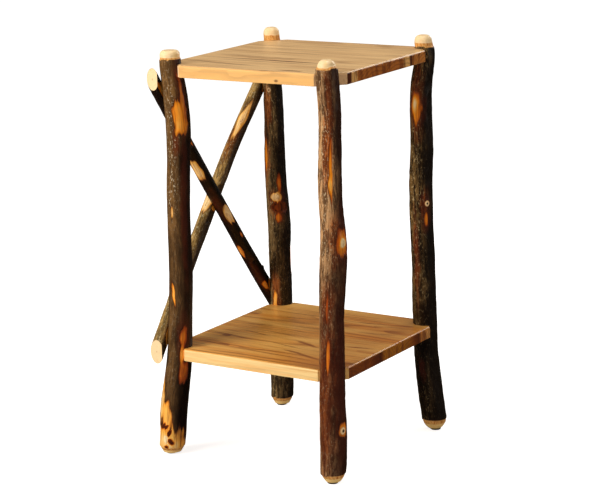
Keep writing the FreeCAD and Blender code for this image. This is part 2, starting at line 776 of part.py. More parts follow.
def build_glides():
    """A nailed-on glide under each foot, its nail, and the holes for the nails."""
    glides, nails, holes = [], [], {}
    radius, nail = "Sizes.glide_diameter / 2", "Sizes.nail_diameter / 2"
    thick, bevel = "Sizes.glide_thick", "Sizes.glide_bevel"
    nail_seat = "Sizes.glide_thick - Sizes.nail_in_glide"
    for corner in CORNERS:
        x, y, _ = leg_axis(corner, "(%s)" % LEG_FOOT)
        glide = turned_body("glide_" + corner, [
            ("0", "0"), (radius + " - " + bevel, "0"), (radius, bevel), (radius, thick),
            (nail, thick), (nail, nail_seat), ("0", nail_seat)])
        place(glide, x, y, 0)
        glides.append(glide)
        up = Vector(0, 0, 1)
        nails.append(rod("nail_" + corner, (x, y, nail_seat), up, nail, "Sizes.nail_length"))
        holes[corner] = rod("nail_hole_" + corner, (x, y, nail_seat), up,
                            nail + " + Sizes.screw_gap", "Sizes.nail_length + Sizes.screw_gap")
    return group("foot_glides", glides), group("glide_nails", nails), holes


def build_table():
    """All sub-parts, in the frame whose origin is the middle of the top board's footprint."""
    top_staves, top_screws, top_cutters = build_level("top")
    shelf_staves, shelf_screws, shelf_cutters = build_level("shelf")
    sticks, brace_screws, crossing_screw, brace_cutters = build_brace()
    glides, nails, nail_holes = build_glides()
    legs = []
    for corner in CORNERS:
        cutters = [top_cutters[corner], shelf_cutters[corner], nail_holes[corner]]
        cutters += brace_cutters[corner]
        legs.append(cut("leg_" + corner, sapling(corner), cutters))
    return (top_staves + shelf_staves + legs + sticks
            + [top_screws, shelf_screws, brace_screws, crossing_screw, glides, nails])


def check(objects):
    """Stop at any failed feature, and at any sub-part that isn't made of sound solids."""
    for item in doc.Objects:
        if "Invalid" in item.State or "Error" in item.State:
            raise RuntimeError("%s failed: %s" % (item.Name, item.State))
    for piece in objects:
        shape = piece.Shape
        if shape.isNull() or not shape.isValid() or not shape.Solids:
            raise RuntimeError("%s has no sound shape" % piece.Label)


def centre_on_floor(objects):
    """Move every sub-part so that the origin is under the middle of the bounding box."""
    fineness = value("Sizes.measure_step")
    points = [point for piece in objects for point in piece.Shape.tessellate(fineness)[0]]
    across = [point.x for point in points]
    along = [point.y for point in points]
    shift = Vector(min(across) + max(across), min(along) + max(along), 0) * -0.5
    for piece in objects:
        piece.Placement = Placement(shift, Rotation()).multiply(piece.Placement)
    return shift


fill_sheet()
parts_list = build_table()
doc.recompute()
check(parts_list)
shift = centre_on_floor(parts_list)
doc.recompute()
check(parts_list)
os.makedirs("parts", exist_ok=True)
for piece in parts_list:
    piece.Shape.exportStep("parts/%s.step" % piece.Label)
    print("%-28s solids %d volume %.0f" % (piece.Label, len(piece.Shape.Solids),
                                           piece.Shape.Volume))
print("shift of the frame", shift)
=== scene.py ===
"""Looks for the rustic two-tier hickory table: varnished bark poles, edge-glued boards,
a plain pale studio and a camera that looks at the right front corner. Metres, Z up."""
import math

import bpy
import numpy as np
from mathutils import Matrix, Vector


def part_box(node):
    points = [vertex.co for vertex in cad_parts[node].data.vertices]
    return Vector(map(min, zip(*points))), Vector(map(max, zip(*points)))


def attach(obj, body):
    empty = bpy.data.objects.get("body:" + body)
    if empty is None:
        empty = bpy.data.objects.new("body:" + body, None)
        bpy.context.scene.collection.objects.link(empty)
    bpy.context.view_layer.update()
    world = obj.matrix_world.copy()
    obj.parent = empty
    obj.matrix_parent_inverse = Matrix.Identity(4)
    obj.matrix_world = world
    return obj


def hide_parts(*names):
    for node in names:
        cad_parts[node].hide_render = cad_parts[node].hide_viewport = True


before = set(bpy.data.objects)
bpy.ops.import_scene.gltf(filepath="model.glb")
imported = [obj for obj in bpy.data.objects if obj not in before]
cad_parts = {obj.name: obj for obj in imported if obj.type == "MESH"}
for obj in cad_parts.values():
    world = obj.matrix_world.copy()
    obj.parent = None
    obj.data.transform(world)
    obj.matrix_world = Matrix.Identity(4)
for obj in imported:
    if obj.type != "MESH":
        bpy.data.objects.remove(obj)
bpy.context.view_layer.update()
MM = 0.001


# Numbers

def smooth(low, high, x):
    """A soft step: 0 where x is at low, 1 where it is at high."""
    t = np.clip((x - low) / (high - low), 0.0, 1.0)
    return t * t * (3.0 - 2.0 * t)


def pole_noise(phi, s, radius, seed, across, along):
    """Smooth noise from -1 to 1 on a pole's skin, in cells of the given size, across and along
    the pole. It closes round the pole after a whole number of cells."""
    around = max(3, int(round(2 * math.pi * radius / across)))
    u = np.mod(phi / (2 * math.pi) * around, around)
    v = (s - s.min()) / along + 1.0
    table = np.random.RandomState(seed).uniform(-1.0, 1.0, (around, int(np.ceil(v.max())) + 3))
    i, j = np.floor(u).astype(int), np.floor(v).astype(int)
    a, b = u - i, v - j
    a, b = a * a * (3 - 2 * a), b * b * (3 - 2 * b)
    i0, i1 = i % around, (i + 1) % around
    low = table[i0, j] * (1 - a) + table[i1, j] * a
    high = table[i0, j + 1] * (1 - a) + table[i1, j + 1] * a
    return low * (1 - b) + high * b


# New objects

def add_object(name, data):
    """A new object in the scene's own collection."""
    thing = bpy.data.objects.new(name, data)
    bpy.context.scene.collection.objects.link(thing)
    return thing


def add_mesh(name, vertices, faces):
    """A new mesh object from its points and faces."""
    mesh = bpy.data.meshes.new(name)
    mesh.from_pydata(vertices, [], faces)
    return add_object(name, mesh)


def dress(piece, material):
    """Give a piece its one material."""
    piece.data.materials.clear()
    piece.data.materials.append(material)


# Reading the poles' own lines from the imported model

STATION_STEP = 4 * MM  # from one section that is read to the next
FOOT_UNREAD, CAP_UNREAD, STICK_UNREAD = 12 * MM, 10 * MM, 24 * MM  # ends that aren't round
LEG_START, STICK_START = 0.45, 0.38  # where reading begins: a height, a share of the stick
TAIL = 12  # how many sections give the slope in which a stick runs on past its read line
SKIN_REACH = 1.2 * MM  # how far off the circle before a point of the round skin may lie
FEWEST_POINTS = 8  # a section with fewer of them takes over the circle before
SMOOTHING = 5  # how many sections a pole's line is averaged over
SQUARE_ON = 0.99999  # the least x of a normal that faces square to X
SAME_PLANE = 0.02 * MM
SMALLEST_FLAT = 60 * MM * MM


def local_mesh(node, origin, basis):
    """The corners of a node's triangles, in the pole's own axes."""
    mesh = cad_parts[node].data
    mesh.calc_loop_triangles()
    points = np.array([vertex.co for vertex in mesh.vertices]) - origin
    triangles = np.array([triangle.vertices for triangle in mesh.loop_triangles])
    return (points @ basis.T)[triangles]


def section_points(corners, station):
    """Where the mesh crosses a plane square to the pole."""
    height = corners[:, :, 2] - station
    cut = corners[(height.min(1) < 0) & (height.max(1) > 0)]
    found = []
    for a, b in ((0, 1), (1, 2), (2, 0)):
        za, zb = cut[:, a, 2] - station, cut[:, b, 2] - station
        crossing = za * zb < 0
        part = (za / np.where(crossing, za - zb, 1.0))[crossing][:, None]
        found.append(cut[crossing, a, :2] * (1 - part) + cut[crossing, b, :2] * part)
    return np.concatenate(found)


def fit_circle(points):
    """Centre and radius of the circle that lies nearest the points."""
    a = np.column_stack([2 * points, np.ones(len(points))])
    x, y, c = np.linalg.lstsq(a, (points ** 2).sum(1), rcond=None)[0]
    return np.array([x, y, math.sqrt(c + x * x + y * y)])


def pole_line(node, origin, basis, stations, start):
    """Centre and radius of the round section at each station, past notches and flats."""
    corners = local_mesh(node, origin, basis)
    found = np.zeros((len(stations), 3))
    first = int(np.argmin(abs(stations - start)))
    found[first] = fit_circle(section_points(corners, stations[first]))
    for order in (range(first + 1, len(stations)), range(first - 1, -1, -1)):
        for index in order:
            before = found[index - 1 if index > first else index + 1]
            points = section_points(corners, stations[index])
            off = np.hypot(*(points - before[:2]).T) - before[2]
            on_skin = points[abs(off) < SKIN_REACH]
            found[index] = fit_circle(on_skin) if len(on_skin) >= FEWEST_POINTS else before
    kernel = np.ones(SMOOTHING) / SMOOTHING
    padded = np.pad(found, ((SMOOTHING // 2, SMOOTHING // 2), (0, 0)), mode="edge")
    return np.column_stack([np.convolve(column, kernel, "valid") for column in padded.T])


def side_flats(node):
    """The planes square to X that are cut on a pole: x, facing, lowest z and highest z."""
    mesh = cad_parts[node].data
    flats = []
    for polygon in mesh.polygons:
        if abs(polygon.normal.x) < SQUARE_ON:
            continue
        x, facing = polygon.center.x, math.copysign(1, polygon.normal.x)
        heights = [mesh.vertices[i].co.z for i in polygon.vertices]
        near = [flat for flat in flats if abs(flat[0] - x) < SAME_PLANE and flat[1] == facing]
        if near:
            flat = near[0]
            flat[2], flat[3] = min(flat[2], *heights), max(flat[3], *heights)
            flat[4] += polygon.area
        else:
            flats.append([x, facing, min(heights), max(heights), polygon.area])
    return [flat[:4] for flat in flats if flat[4] > SMALLEST_FLAT]


# Bark

# Marks on the bark: angle in degrees, place along the pole in mm, half width and half height
# in mm, slope, and hue from 0 (red-brown) over 0.5 (orange) to 1 (pale tan).
PEELED = {
    "leg_front_left": [
        (-24, 668, 4, 46, 0, 0.3), (-42, 632, 14, 31, 0, 0.55), (-92, 461, 2.6, 13, 0, 0.8),
        (-97, 311, 3.4, 21, -0.23, 0.62), (-40, 228, 7, 22, 0, 0.24), (-46, 197, 4, 26, 0, 0.52),
        (-34, 163, 9, 22, 0, 0.24), (-132, 104, 9, 44, 0, 0.8), (-92, 74, 12, 32, -0.1, 0.64),
        (-93, 16, 42, 40, 0, 0.73), (-88, 56, 4, 5, 0.6, -0.3), (-74, 44, 4, 8, 0.3, -0.3),
        (-64, 28, 6, 7, -0.6, -0.2), (-84, 17, 5, 4, 0, -0.1), (-104, 58, 4, 7, 0.5, -0.1),
        (-90, 33, 6, 8, 0, 0.92), (150, 40, 20, 30, 0.1, 0.6), (110, 520, 6, 40, 0.05, 0.5),
        (60, 330, 5, 26, 0, 0.35),
    ],
    "leg_front_right": [
        (-60, 574, 2.4, 56, 0, 0.28), (-58, 541, 3.8, 24, 0, 0.56), (-12, 438, 15, 24, 0, 0.32),
        (-17, 437, 6.5, 8.5, 0, 0.88), (-80, 237, 3.8, 31, 0.02, 0.36), (-84, 322, 2.2, 30, 0, 0.1),
        (-14, 101, 9, 13, 0, 0.42), (120, 300, 7, 45, 0.05, 0.4), (40, 620, 5, 30, 0, 0.35),
        (170, 560, 6, 24, 0, 0.6),
    ],
    "leg_back_right": [
        (-92, 620, 10, 30, 0, 0.42), (-97, 627, 6, 15, 0, 0.9), (-40, 411, 4, 12, 0, 0.36),
        (60, 400, 7, 38, 0, 0.45), (140, 250, 6, 30, 0.05, 0.35), (100, 640, 5, 22, 0, 0.6),
    ],
    "leg_back_left": [
        (-58, 404, 17, 11, 0, -0.02), (-64, 424, 11, 10, 0, 0.84), (-44, 452, 4, 20, 0, 0.3),
        (-60, 384, 7, 10, 0, 0.26), (-97, 216, 5, 24, 0, 0.7), (-119, 507, 5, 33, 0, 0.5),
        (30, 300, 7, 36, 0, 0.45), (120, 560, 6, 30, 0, 0.5), (100, 160, 8, 24, 0, 0.3),
    ],
    "brace_stick_inner": [
        (-80, 437, 9.5, 26, 0, 0.8), (-17, 306, 9, 24, 0, 0.86), (-2, 240, 2.6, 8, 0, 0.4),
        (-88, 200, 5, 18, 0, 0.5), (-40, 88, 6, 13, 0, 0.5), (170, 500, 6, 26, 0, 0.6),
        (110, 120, 5, 22, 0, 0.5), (0, 508, 3, 12, 0, 0.5), (-14, 636, 5, 26, 0, 0.4),
    ],
    "brace_stick_outer": [
        (-72, 484, 8, 46, 0.05, 0.88), (-96, 312, 11, 25, 0, 0.88), (150, 400, 7, 30, 0, 0.6),
        (80, 180, 6, 22, 0, 0.5),
    ],
}
# Thin reddish bark that isn't peeled: angle, place, half width, half height.
WARM = {
    "leg_front_left": [
        (-22, 690, 9, 42), (-70, 592, 5, 26), (-30, 470, 6, 120), (-38, 226, 10, 40),
    ],
    "leg_front_right": [
        (-60, 668, 5, 70), (-74, 604, 7, 60), (-82, 322, 12, 36), (-78, 250, 8, 50),
        (-20, 440, 20, 44), (-17, 100, 14, 22), (-100, 150, 13, 120), (-24, 190, 13, 130),
    ],
    "leg_back_right": [
        (-92, 680, 6, 24), (-42, 430, 9, 34), (-97, 340, 5, 70), (-91, 121, 6, 16),
        (-92, 622, 14, 46),
    ],
    "leg_back_left": [
        (-103, 594, 8, 36), (-125, 506, 10, 42), (-60, 408, 16, 26), (-92, 235, 9, 40),
    ],
    "brace_stick_inner": [(-60, 330, 8, 40), (-50, 120, 8, 50)],
    "brace_stick_outer": [(-80, 440, 8, 40), (-20, 60, 6, 40)],
}
# Knots: angle, place, radius, how far they stand out, in mm, and ring strength.
KNOTS = {
    "leg_front_left": [(-74, 44, 4, 1, 0), (-62, 28, 5, 0.9, 0), (-86, 32, 6, 1, 0)],
    "leg_front_right": [
        (-17, 438, 7.5, 3.4, 0), (-15, 100, 6, 2.4, 1), (-88, 378, 5, 2.6, 0),
        (130, 420, 6, 2, 0.8),
    ],
    "leg_back_right": [(-32, 440.5, 4.8, 1.4, 1), (80, 560, 6, 2.2, 0.9)],
    "leg_back_left": [(-56, 425, 3, 2.6, 0.7), (-83, 633, 4, 1.4, 0.4), (70, 480, 5, 1.6, 0.8)],
    "brace_stick_inner": [(-17, 308, 4, 1.6, 0), (75, 118, 3, 4.5, 0.2)],
    "brace_stick_outer": [(-70, 482, 4, 1.5, 0.3), (-92, 300, 4, 1, 0.2)],
}


def spread(phi, s, radius, angle, place, half_width, half_height, slope=0.0, point=2.0,
           stretch=0.0, shift=0.0):
    """How deep a point lies in an oval mark: 1 in the middle, 0.5 on its edge, 0 far out."""
    turn = np.mod(phi - math.radians(angle) + math.pi, 2 * math.pi) - math.pi
    along = (s / MM - place) * (1.0 + stretch)
    across = turn * radius / MM - slope * along + shift * half_width
    reach = np.sqrt((across / half_width) ** 2 + abs(along / half_height) ** point)
    return np.clip(1.0 - 0.5 * reach, 0.0, 1.0)


KNOT_FADE = 1.25  # how far a knot's swelling reaches, in its own radii


def bark_masks(name, phi, s, radius, seed):
    """Peel, hue, warmth, knots, their rings and their rise over a pole's skin."""
    mean = float(radius.mean())
    ragged = pole_noise(phi, s, mean, seed + 1, 7 * MM, 15 * MM)
    fingers = pole_noise(phi, s, mean, seed + 2, 2.6 * MM, 45 * MM)
    peel, warm, knot, ring, rise = (np.zeros_like(s) for _ in range(5))
    hue = np.full_like(s, 0.5)
    for angle, place, half_width, half_height, slope, tint in PEELED[name]:
        # Long marks run out in points, short ones are oval and the rest blunt
        point = 1.5 if half_height > 3 * half_width else 2.0 if half_height < 20 else 2.6
        depth = spread(phi, s, radius, angle, place, half_width, half_height, slope, point,
                       0.22 * fingers, 0.30 * ragged)
        blend = smooth(0.42, 0.58, depth) if half_height < 12 else smooth(0.30, 0.95, depth)
        # Where the marks before don't reach, this one sets the hue all round it
        share = np.maximum(blend, (peel < 0.35) & (depth > peel))
        hue = hue + (tint - hue) * share
        peel = np.maximum(peel, depth)
    for mark in WARM[name]:
        warm = np.maximum(warm, spread(phi, s, radius, *mark))
    for angle, place, size, height, strength in KNOTS[name]:
        depth = spread(phi, s, radius, angle, place, size, size * 1.15)
        ring = np.where(depth > knot, strength, ring)
        knot = np.maximum(knot, depth)
        swell = np.exp(-((1 - depth) * 2 / KNOT_FADE) ** 2)
        rise += height * MM * swell
    return peel, hue, smooth(0.15, 0.75, warm + 0.15 * ragged), knot, ring, rise


# Ridge depth, ridge width and ridge length in mm, angle in degrees of the lit side, which lies
# across from the painted shade, and seed
STYLES = {
    "leg_front_left": (0.40, 3.2, 26, -140, 11),
    "leg_front_right": (0.95, 4.0, 28, -130, 23),
    "leg_back_right": (1.00, 4.2, 30, -140, 37),
    "leg_back_left": (0.75, 4.0, 24, -140, 41),
    "brace_stick_inner": (0.30, 3.0, 24, -110, 53),
    "brace_stick_outer": (0.35, 3.0, 22, -140, 67),
}
# Painted shade on the bark, from the lit side round to its darkest
PAINTED_SHADE_TURN, PAINTED_SHADE_WIDTH = 145, 70  # degrees from the lighter side to the darkest, and its reach
LUMP_HEIGHT, PEEL_DEPTH = 0.45, 0.75  # mm
# How light the bark is along a leg: height in mm and share
SHADE = {
    "leg_front_left": ((80, 0.6), (200, 0.75), (240, 0.6), (400, 0.77), (520, 0.9)),
    "leg_front_right": ((60, 0.54), (260, 0.52), (400, 0.78), (480, 1), (640, 0.9), (710, 0.65)),
    "leg_back_right": ((180, 0.3), (330, 0.6), (430, 0.85), (520, 0.9)),
    "leg_back_left": ((480, 0.8), (620, 1)),
}
# Pale specks, partly the bark's own and partly painted highlights: the angle they gather at,
# how far round they reach, and their share by height in mm
SPECKS_AND_GLINTS = {
    "leg_front_left": (-92, 34, (
        (120, 0.1), (190, 0.35), (230, 0.3), (320, 0.08), (440, 0.2), (480, 1), (640, 1),
        (700, 0.35),
    )),
    "leg_front_right": (-98, 58, ((60, 0.6), (300, 0.7), (400, 1), (700, 1))),
    "leg_back_right": (-95, 60, ((60, 0.9), (560, 1))),
}


def turned_from(phi, angle):
    """How many degrees round the pole a point lies from the given angle, -180 to 180."""
    return np.mod(np.degrees(phi) - angle + 180, 360) - 180


def along_pole(s, profile):
    """A value that changes along the pole, from pairs of height in mm and value."""
    heights, values = zip(*profile)
    return np.interp(s / MM, heights, values)


def skin(name, phi, s, radius, bare):
    """Relief and colour masks, with painted shade and highlights; bare is 1 where the wood was
    whittled.
    """
    depth, across, along, lit_side, seed = STYLES[name]
    mean = float(radius.mean())
    peel, hue, warm, knot, ring, rise = bark_masks(name, phi, s, radius, seed)
    sway = 0.5 * pole_noise(phi, s, mean, seed + 3, 14 * MM, 40 * MM)
    ridges = pole_noise(phi + sway * across * MM / mean, s, mean, seed + 4, across * MM, along * MM)
    ridges = 0.65 * (1 - 2 * abs(ridges)) + 0.35 * pole_noise(
        phi, s, mean, seed + 5, 0.6 * across * MM, 0.35 * along * MM)
    lumps = pole_noise(phi, s, mean, seed + 6, 22 * MM, 55 * MM)
    stripped = np.maximum(smooth(0.44, 0.54, peel), bare)
    relief = (1 - stripped) * depth * MM * ridges
    relief += (1 - bare) * LUMP_HEIGHT * MM * lumps + rise * (1 - bare)
    relief -= stripped * PEEL_DEPTH * MM
    # Painted shade: the bark is darkened on the side turned from the key lamp
    from_painted_shade = turned_from(phi, lit_side + PAINTED_SHADE_TURN)
    tone = 0.9 - 0.8 * np.exp(-(from_painted_shade / PAINTED_SHADE_WIDTH) ** 2)
    tone = np.clip(tone + 0.25 * lumps, 0, 1)
    tone *= along_pole(s, SHADE.get(name, ((0, 1.0),)))
    # Pale specks and painted highlights, gathered round the lit side
    middle, reach, profile = SPECKS_AND_GLINTS.get(name, (0, 1000, ((0, 1.0),)))
    specks_and_glints = np.exp(-(turned_from(phi, middle) / reach) ** 2) * along_pole(s, profile)
    return relief, (peel, hue, warm), (tone, knot, ring, specks_and_glints)


# A sawn end is closed with rings at these shares of its width
END_RINGS = (0.985, 0.72, 0.42, 0.16)


def saw_ends(layers, cuts):
    """Add a flat face of rings inside each end; returns the layers and the cut mask."""
    done = []
    for layer in layers:
        low, high = layer[0], layer[-1]
        middle_low, middle_high = low.mean(0), high.mean(0)
        before = [middle_low + (low - middle_low) * share for share in reversed(END_RINGS)]
        after = [middle_high + (high - middle_high) * share for share in END_RINGS]
        done.append(np.concatenate([np.array(before), layer, np.array(after)]))
    rows = np.ones((len(END_RINGS),) + cuts.shape[1:])
    return done, np.concatenate([rows, cuts, rows])


def pole_mesh(name, layers, cuts, sharp):
    """A closed grid: rings of points, each end gathered in the middle of its cut. The layers are
    the points, the same in a straight pole, three masks of the skin and four of its form."""
    points, grow, skins, forms = layers[0], layers[1], layers[2:5], layers[5:]
    rings, count, _ = points.shape
    last = (rings - 1) * count
    vertices = points.reshape(-1, 3).tolist()
    low, high = len(vertices), len(vertices) + 1
    vertices += [points[0].mean(0).tolist(), points[-1].mean(0).tolist()]
    following = [(i + 1) % count for i in range(count)]
    faces = [(a + i, a + j, a + count + j, a + count + i)
             for a in range(0, last, count) for i, j in enumerate(following)]
    for i, j in enumerate(following):
        faces += [(low, j, i), (high, last + i, last + j)]
    piece = add_mesh(name, vertices, faces)
    mesh = piece.data
    corner_vertex = np.empty(len(mesh.loops), int)
    mesh.loops.foreach_get("vertex_index", corner_vertex)

    def lay(title, values):
        """Store up to four layers as one colour attribute of the mesh's corners."""
        flat = [np.append(layer.ravel(), [layer[0].mean(), layer[-1].mean()]) for layer in values]
        flat += [np.ones_like(flat[0])] * (4 - len(flat))
        attribute = mesh.color_attributes.new(title, "FLOAT_COLOR", "CORNER")
        attribute.data.foreach_set("color", np.column_stack(flat)[corner_vertex].ravel())

    lay("skin", skins)
    lay("form", forms)
    lay("grow", np.moveaxis(grow, -1, 0))
    lay("cut", [cuts, cuts, cuts])
    mesh.polygons.foreach_set("use_smooth", np.ones(len(mesh.polygons), bool))
    edges = np.empty(2 * len(mesh.edges), int)
    mesh.edges.foreach_get("vertices", edges)
    edge_rings = edges.reshape(-1, 2) // count
    level_edges = edge_rings[:, 0] == edge_rings[:, 1]
    hard = level_edges & np.isin(edge_rings[:, 0], list(sharp))
    mesh.edges.foreach_set("use_edge_sharp", hard)
    return piece


# Ends of the legs. In mm for the cap and for the foot: how high and how deep the round is, how
# far the bare wood and the inner bark reach, and how much the knife took off. Last, how round
# the foot's edge is; 1 would be a straight bevel.
LEG_ENDS = {
    "leg_front_left": ((9.0, 7.5, 12.5, 15.5, 0.3), (12.0, 6.0, 4.5, 9.0, 0.2), 1.15),
    "leg_front_right": ((13.0, 11.0, 11.5, 15.0, 1.6), (13.0, 7.0, 7.5, 13.0, 0.4), 1.6),
    "leg_back_right": ((13.0, 10.0, 12.5, 20.5, 0.5), (17.0, 9.0, 9.5, 18.0, 0.4), 2.2),
    "leg_back_left": ((12.0, 9.5, 13.0, 27.0, 0.5), (12.0, 6.0, 6.5, 13.0, 0.3), 1.3),
}
CAP_ROUND = 2.2
# Rings of the foot and the cap, as shares of their height, each counted towards its end
FOOT_STEPS = np.array([1.0, 0.97, 0.85, 0.7, 0.5, 0.3, 0.12])
CAP_STEPS = np.array([0.12, 0.25, 0.4, 0.55, 0.68, 0.80, 0.89, 0.95, 0.985, 1.0])
LEG_SIDES, LEG_RING_STEP = 88, 2.4 * MM
STICK_SIDES, STICK_RINGS, REACH_ROUNDS = 60, 280, 12
KNIFE_RADIUS, KNIFE_DEPTH = 0.02, 0.35  # the radius in m that its marks are laid out for, and mm
PARED_EDGE = 0.5 * MM  # half the width of the seam between bark, inner bark and wood
SHAVED = 0.05 * MM  # how far under the solid's flat the shaved skin lies


def build_leg(name):
    """A bark-on leg, whittled round on top and bevelled at the foot."""
    low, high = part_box(name)
    bottom, top = low.z, high.z
    at_top, at_bottom, foot_round = LEG_ENDS[name]
    cap, cap_in, cap_sap, cap_bark, cap_off = (value * MM for value in at_top)
    foot, foot_in, foot_sap, foot_bark, foot_off = (value * MM for value in at_bottom)
    stations = np.arange(bottom + FOOT_UNREAD, top - CAP_UNREAD, STATION_STEP)
    line = pole_line(name, np.zeros(3), np.eye(3), stations, LEG_START)
    body = np.arange(bottom + foot, top - cap, LEG_RING_STEP)
    heights = np.concatenate([bottom + foot * (1 - FOOT_STEPS), body, top - cap + cap * CAP_STEPS])
    shrink = np.zeros(len(heights))
    shrink[:len(FOOT_STEPS)] = foot_in * FOOT_STEPS ** foot_round
    shrink[-len(CAP_STEPS):] = cap_in * (1 - np.sqrt(1 - CAP_STEPS ** CAP_ROUND))
    centre_x, centre_y, radius = (np.interp(heights, stations, column)[:, None]
                                  for column in line.T)
    phi, s = np.meshgrid(np.linspace(0, 2 * math.pi, LEG_SIDES, endpoint=False), heights)
    full = np.repeat(radius, LEG_SIDES, 1)
    seed = STYLES[name][4]
    wave = (pole_noise(phi, s, KNIFE_RADIUS, seed + 8, 12 * MM, 200 * MM)
            + 0.5 * pole_noise(phi, s, KNIFE_RADIUS, seed + 7, 5 * MM, 200 * MM)) * MM

    def pared(sap, bark, height):
        """0 on bark, 0.5 on the inner bark, 1 on bare wood; height counts from the end."""
        return (0.5 * smooth(PARED_EDGE, -PARED_EDGE, height - bark - 1.5 * wave)
                + 0.5 * smooth(PARED_EDGE, -PARED_EDGE, height - sap - 0.8 * wave))

    at_cap, at_foot = pared(cap_sap, cap_bark, top - s), pared(foot_sap, foot_bark, s - bottom)
    cuts = np.maximum(at_cap, at_foot)
    bare = np.clip(2 * cuts, 0, 1)
    relief, colours, forms = skin(name, phi, s, full, bare)
    knife = pole_noise(phi, s, KNIFE_RADIUS, seed + 9, 12 * MM, 9 * MM)
    relief = relief + bare * KNIFE_DEPTH * MM * knife - at_cap * cap_off - at_foot * foot_off
    r = full - shrink[:, None] + relief
    points = np.stack([centre_x + r * np.cos(phi), centre_y + r * np.sin(phi), s], -1)
    flat_skin = press_flats(name, points)
    colours = (np.maximum(colours[0], flat_skin), np.where(flat_skin > 0.5, 0.6, colours[1]),
               np.maximum(colours[2], smooth(0.0, 0.4, at_foot)))
    grow = np.stack([r * np.cos(phi), r * np.sin(phi), s], -1)
    layers, cuts = saw_ends((points, grow, *colours, *forms), cuts)
    return pole_mesh(name + "_bark", layers, cuts, (len(END_RINGS),))


def press_flats(name, points):
    """Press the skin back to the shaved planes; returns where it was shaved."""
    shaved = np.zeros(points.shape[:2])
    for x, facing, low, high in side_flats(name):
        past = (points[:, :, 0] - x) * facing
        inside = (points[:, :, 2] > low - 1 * MM) & (points[:, :, 2] < high + 1 * MM)
        hit = inside & (past > -SHAVED)
        points[:, :, 0] = np.where(hit, x - SHAVED * facing, points[:, :, 0])
        shaved = np.maximum(shaved, hit * smooth(0.6 * MM, 1.4 * MM, past))
    return shaved


def middle_of(node):
    """The middle of a node's box."""
    low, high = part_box(node)
    return (low + high) / 2


def stick_ends(name):
    """The planes in Y where a stick is sawn off, first at its lower end."""
    low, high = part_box(name)
    return (low.y, high.y) if name.endswith("outer") else (high.y, low.y)


def build_stick(name):
    """A bark-on stick, sawn off upright at both ends, with its shaved seats."""
    points = np.array([vertex.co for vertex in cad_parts[name].data.vertices])
    middle = points.mean(0)
    axis = np.linalg.svd(points - middle, full_matrices=False)[2][0]
    axis *= math.copysign(1, axis[2])
    axis[0] = 0
    axis /= np.linalg.norm(axis)
    side = np.array([1.0, 0.0, 0.0])
    basis = np.array([side, np.cross(axis, side), axis])
    run = axis[1]
    planes = stick_ends(name)
    start, end = ((plane - middle[1]) / run for plane in planes)
    stations = np.arange(start + STICK_UNREAD, end - STICK_UNREAD, STATION_STEP)
    line = pole_line(name, middle, basis, stations, start + STICK_START * (end - start))
    turn = np.linspace(0, 2 * math.pi, STICK_SIDES, endpoint=False)
    phi, part = np.meshgrid(turn, np.linspace(0, 1, STICK_RINGS))

    def centre(at):
        """Centre and radius at each length; past the line that was read, it runs on straight."""
        values = [np.interp(at, stations, line[:, k]) for k in range(3)]
        for k in range(2):
            for edge, inner, beyond in ((0, TAIL, at < stations[0]),
                                        (-1, -1 - TAIL, at > stations[-1])):
                slope = (line[edge, k] - line[inner, k]) / (stations[edge] - stations[inner])
                values[k] = np.where(
                    beyond, line[edge, k] + slope * (at - stations[edge]), values[k])
        return values

    # How long each line of the skin runs until it meets the sawn plane, found step by step
    reach = np.empty((2, STICK_SIDES))
    for row, (guess, plane) in enumerate(zip((start, end), planes)):
        at = np.full(STICK_SIDES, guess)
        for _ in range(REACH_ROUNDS):
            cx, cy, r = centre(at)
            across = (cx + r * np.cos(turn)) * basis[0][1] + (cy + r * np.sin(turn)) * basis[1][1]
            at = (plane - middle[1] - across) / run
        reach[row] = at
    s = reach[0] * (1 - part) + reach[1] * part
    cx, cy, full = centre(s)
    along = s - start
    relief, colours, forms = skin(name, phi, along, full, np.zeros_like(s))
    # The relief fades out at the sawn ends
    r = full + relief * smooth(0.0, 0.006, np.minimum(part, 1 - part))
    points = np.stack([cx + r * np.cos(phi), cy + r * np.sin(phi), s], -1) @ basis + middle
    shaved = press_flats(name, points)
    # Shaved wood shows at the crossing and on the legs, fading out 14 to 18 mm off their middles
    crossing = middle_of("crossing_screw")
    apart = [np.hypot(points[:, :, 1] - crossing.y, points[:, :, 2] - crossing.z)]
    for leg in ("leg_front_left", "leg_back_left"):
        apart.append(abs(points[:, :, 1] - middle_of(leg).y))
    shaved *= smooth(18 * MM, 14 * MM, np.minimum.reduce(apart))
    colours = (np.maximum(colours[0], shaved), np.where(shaved > 0.5, 0.6, colours[1]), colours[2])
    grow = np.stack([r * np.cos(phi), r * np.sin(phi), along], -1)
    layers, cuts = saw_ends((points, grow, *colours, *forms), np.zeros_like(s))
    first = len(END_RINGS)
    return pole_mesh(name + "_bark", layers, cuts, (first, len(layers[0]) - 1 - first))


# Cuts in the poles: notches for the boards' corners and sinks for the screws

GLUE_GAP = 0.1 * MM
NOTCH_LENGTH, NOTCH_HALF = 60, 70  # mm
SINK_SIDES, SINK_RADIUS, HEAD_DEPTH = 32, 4.9 * MM, 2.5 * MM
OUTSIDE = 0.03  # how far out of the wood the cutter of a sink begins


def cut_with(piece, cutter):
    """Take the cutter's shape out of the piece and drop the cutter."""
    modifier = piece.modifiers.new("cut", "BOOLEAN")
    modifier.operation = "DIFFERENCE"
    modifier.solver = "EXACT"
    modifier.object = cutter
    graph = bpy.context.evaluated_depsgraph_get()
    result = bpy.data.meshes.new_from_object(piece.evaluated_get(graph))
    piece.modifiers.clear()
    old = piece.data
    piece.data = result
    result.name = piece.name
    bpy.data.meshes.remove(old)
    bpy.data.objects.remove(cutter)


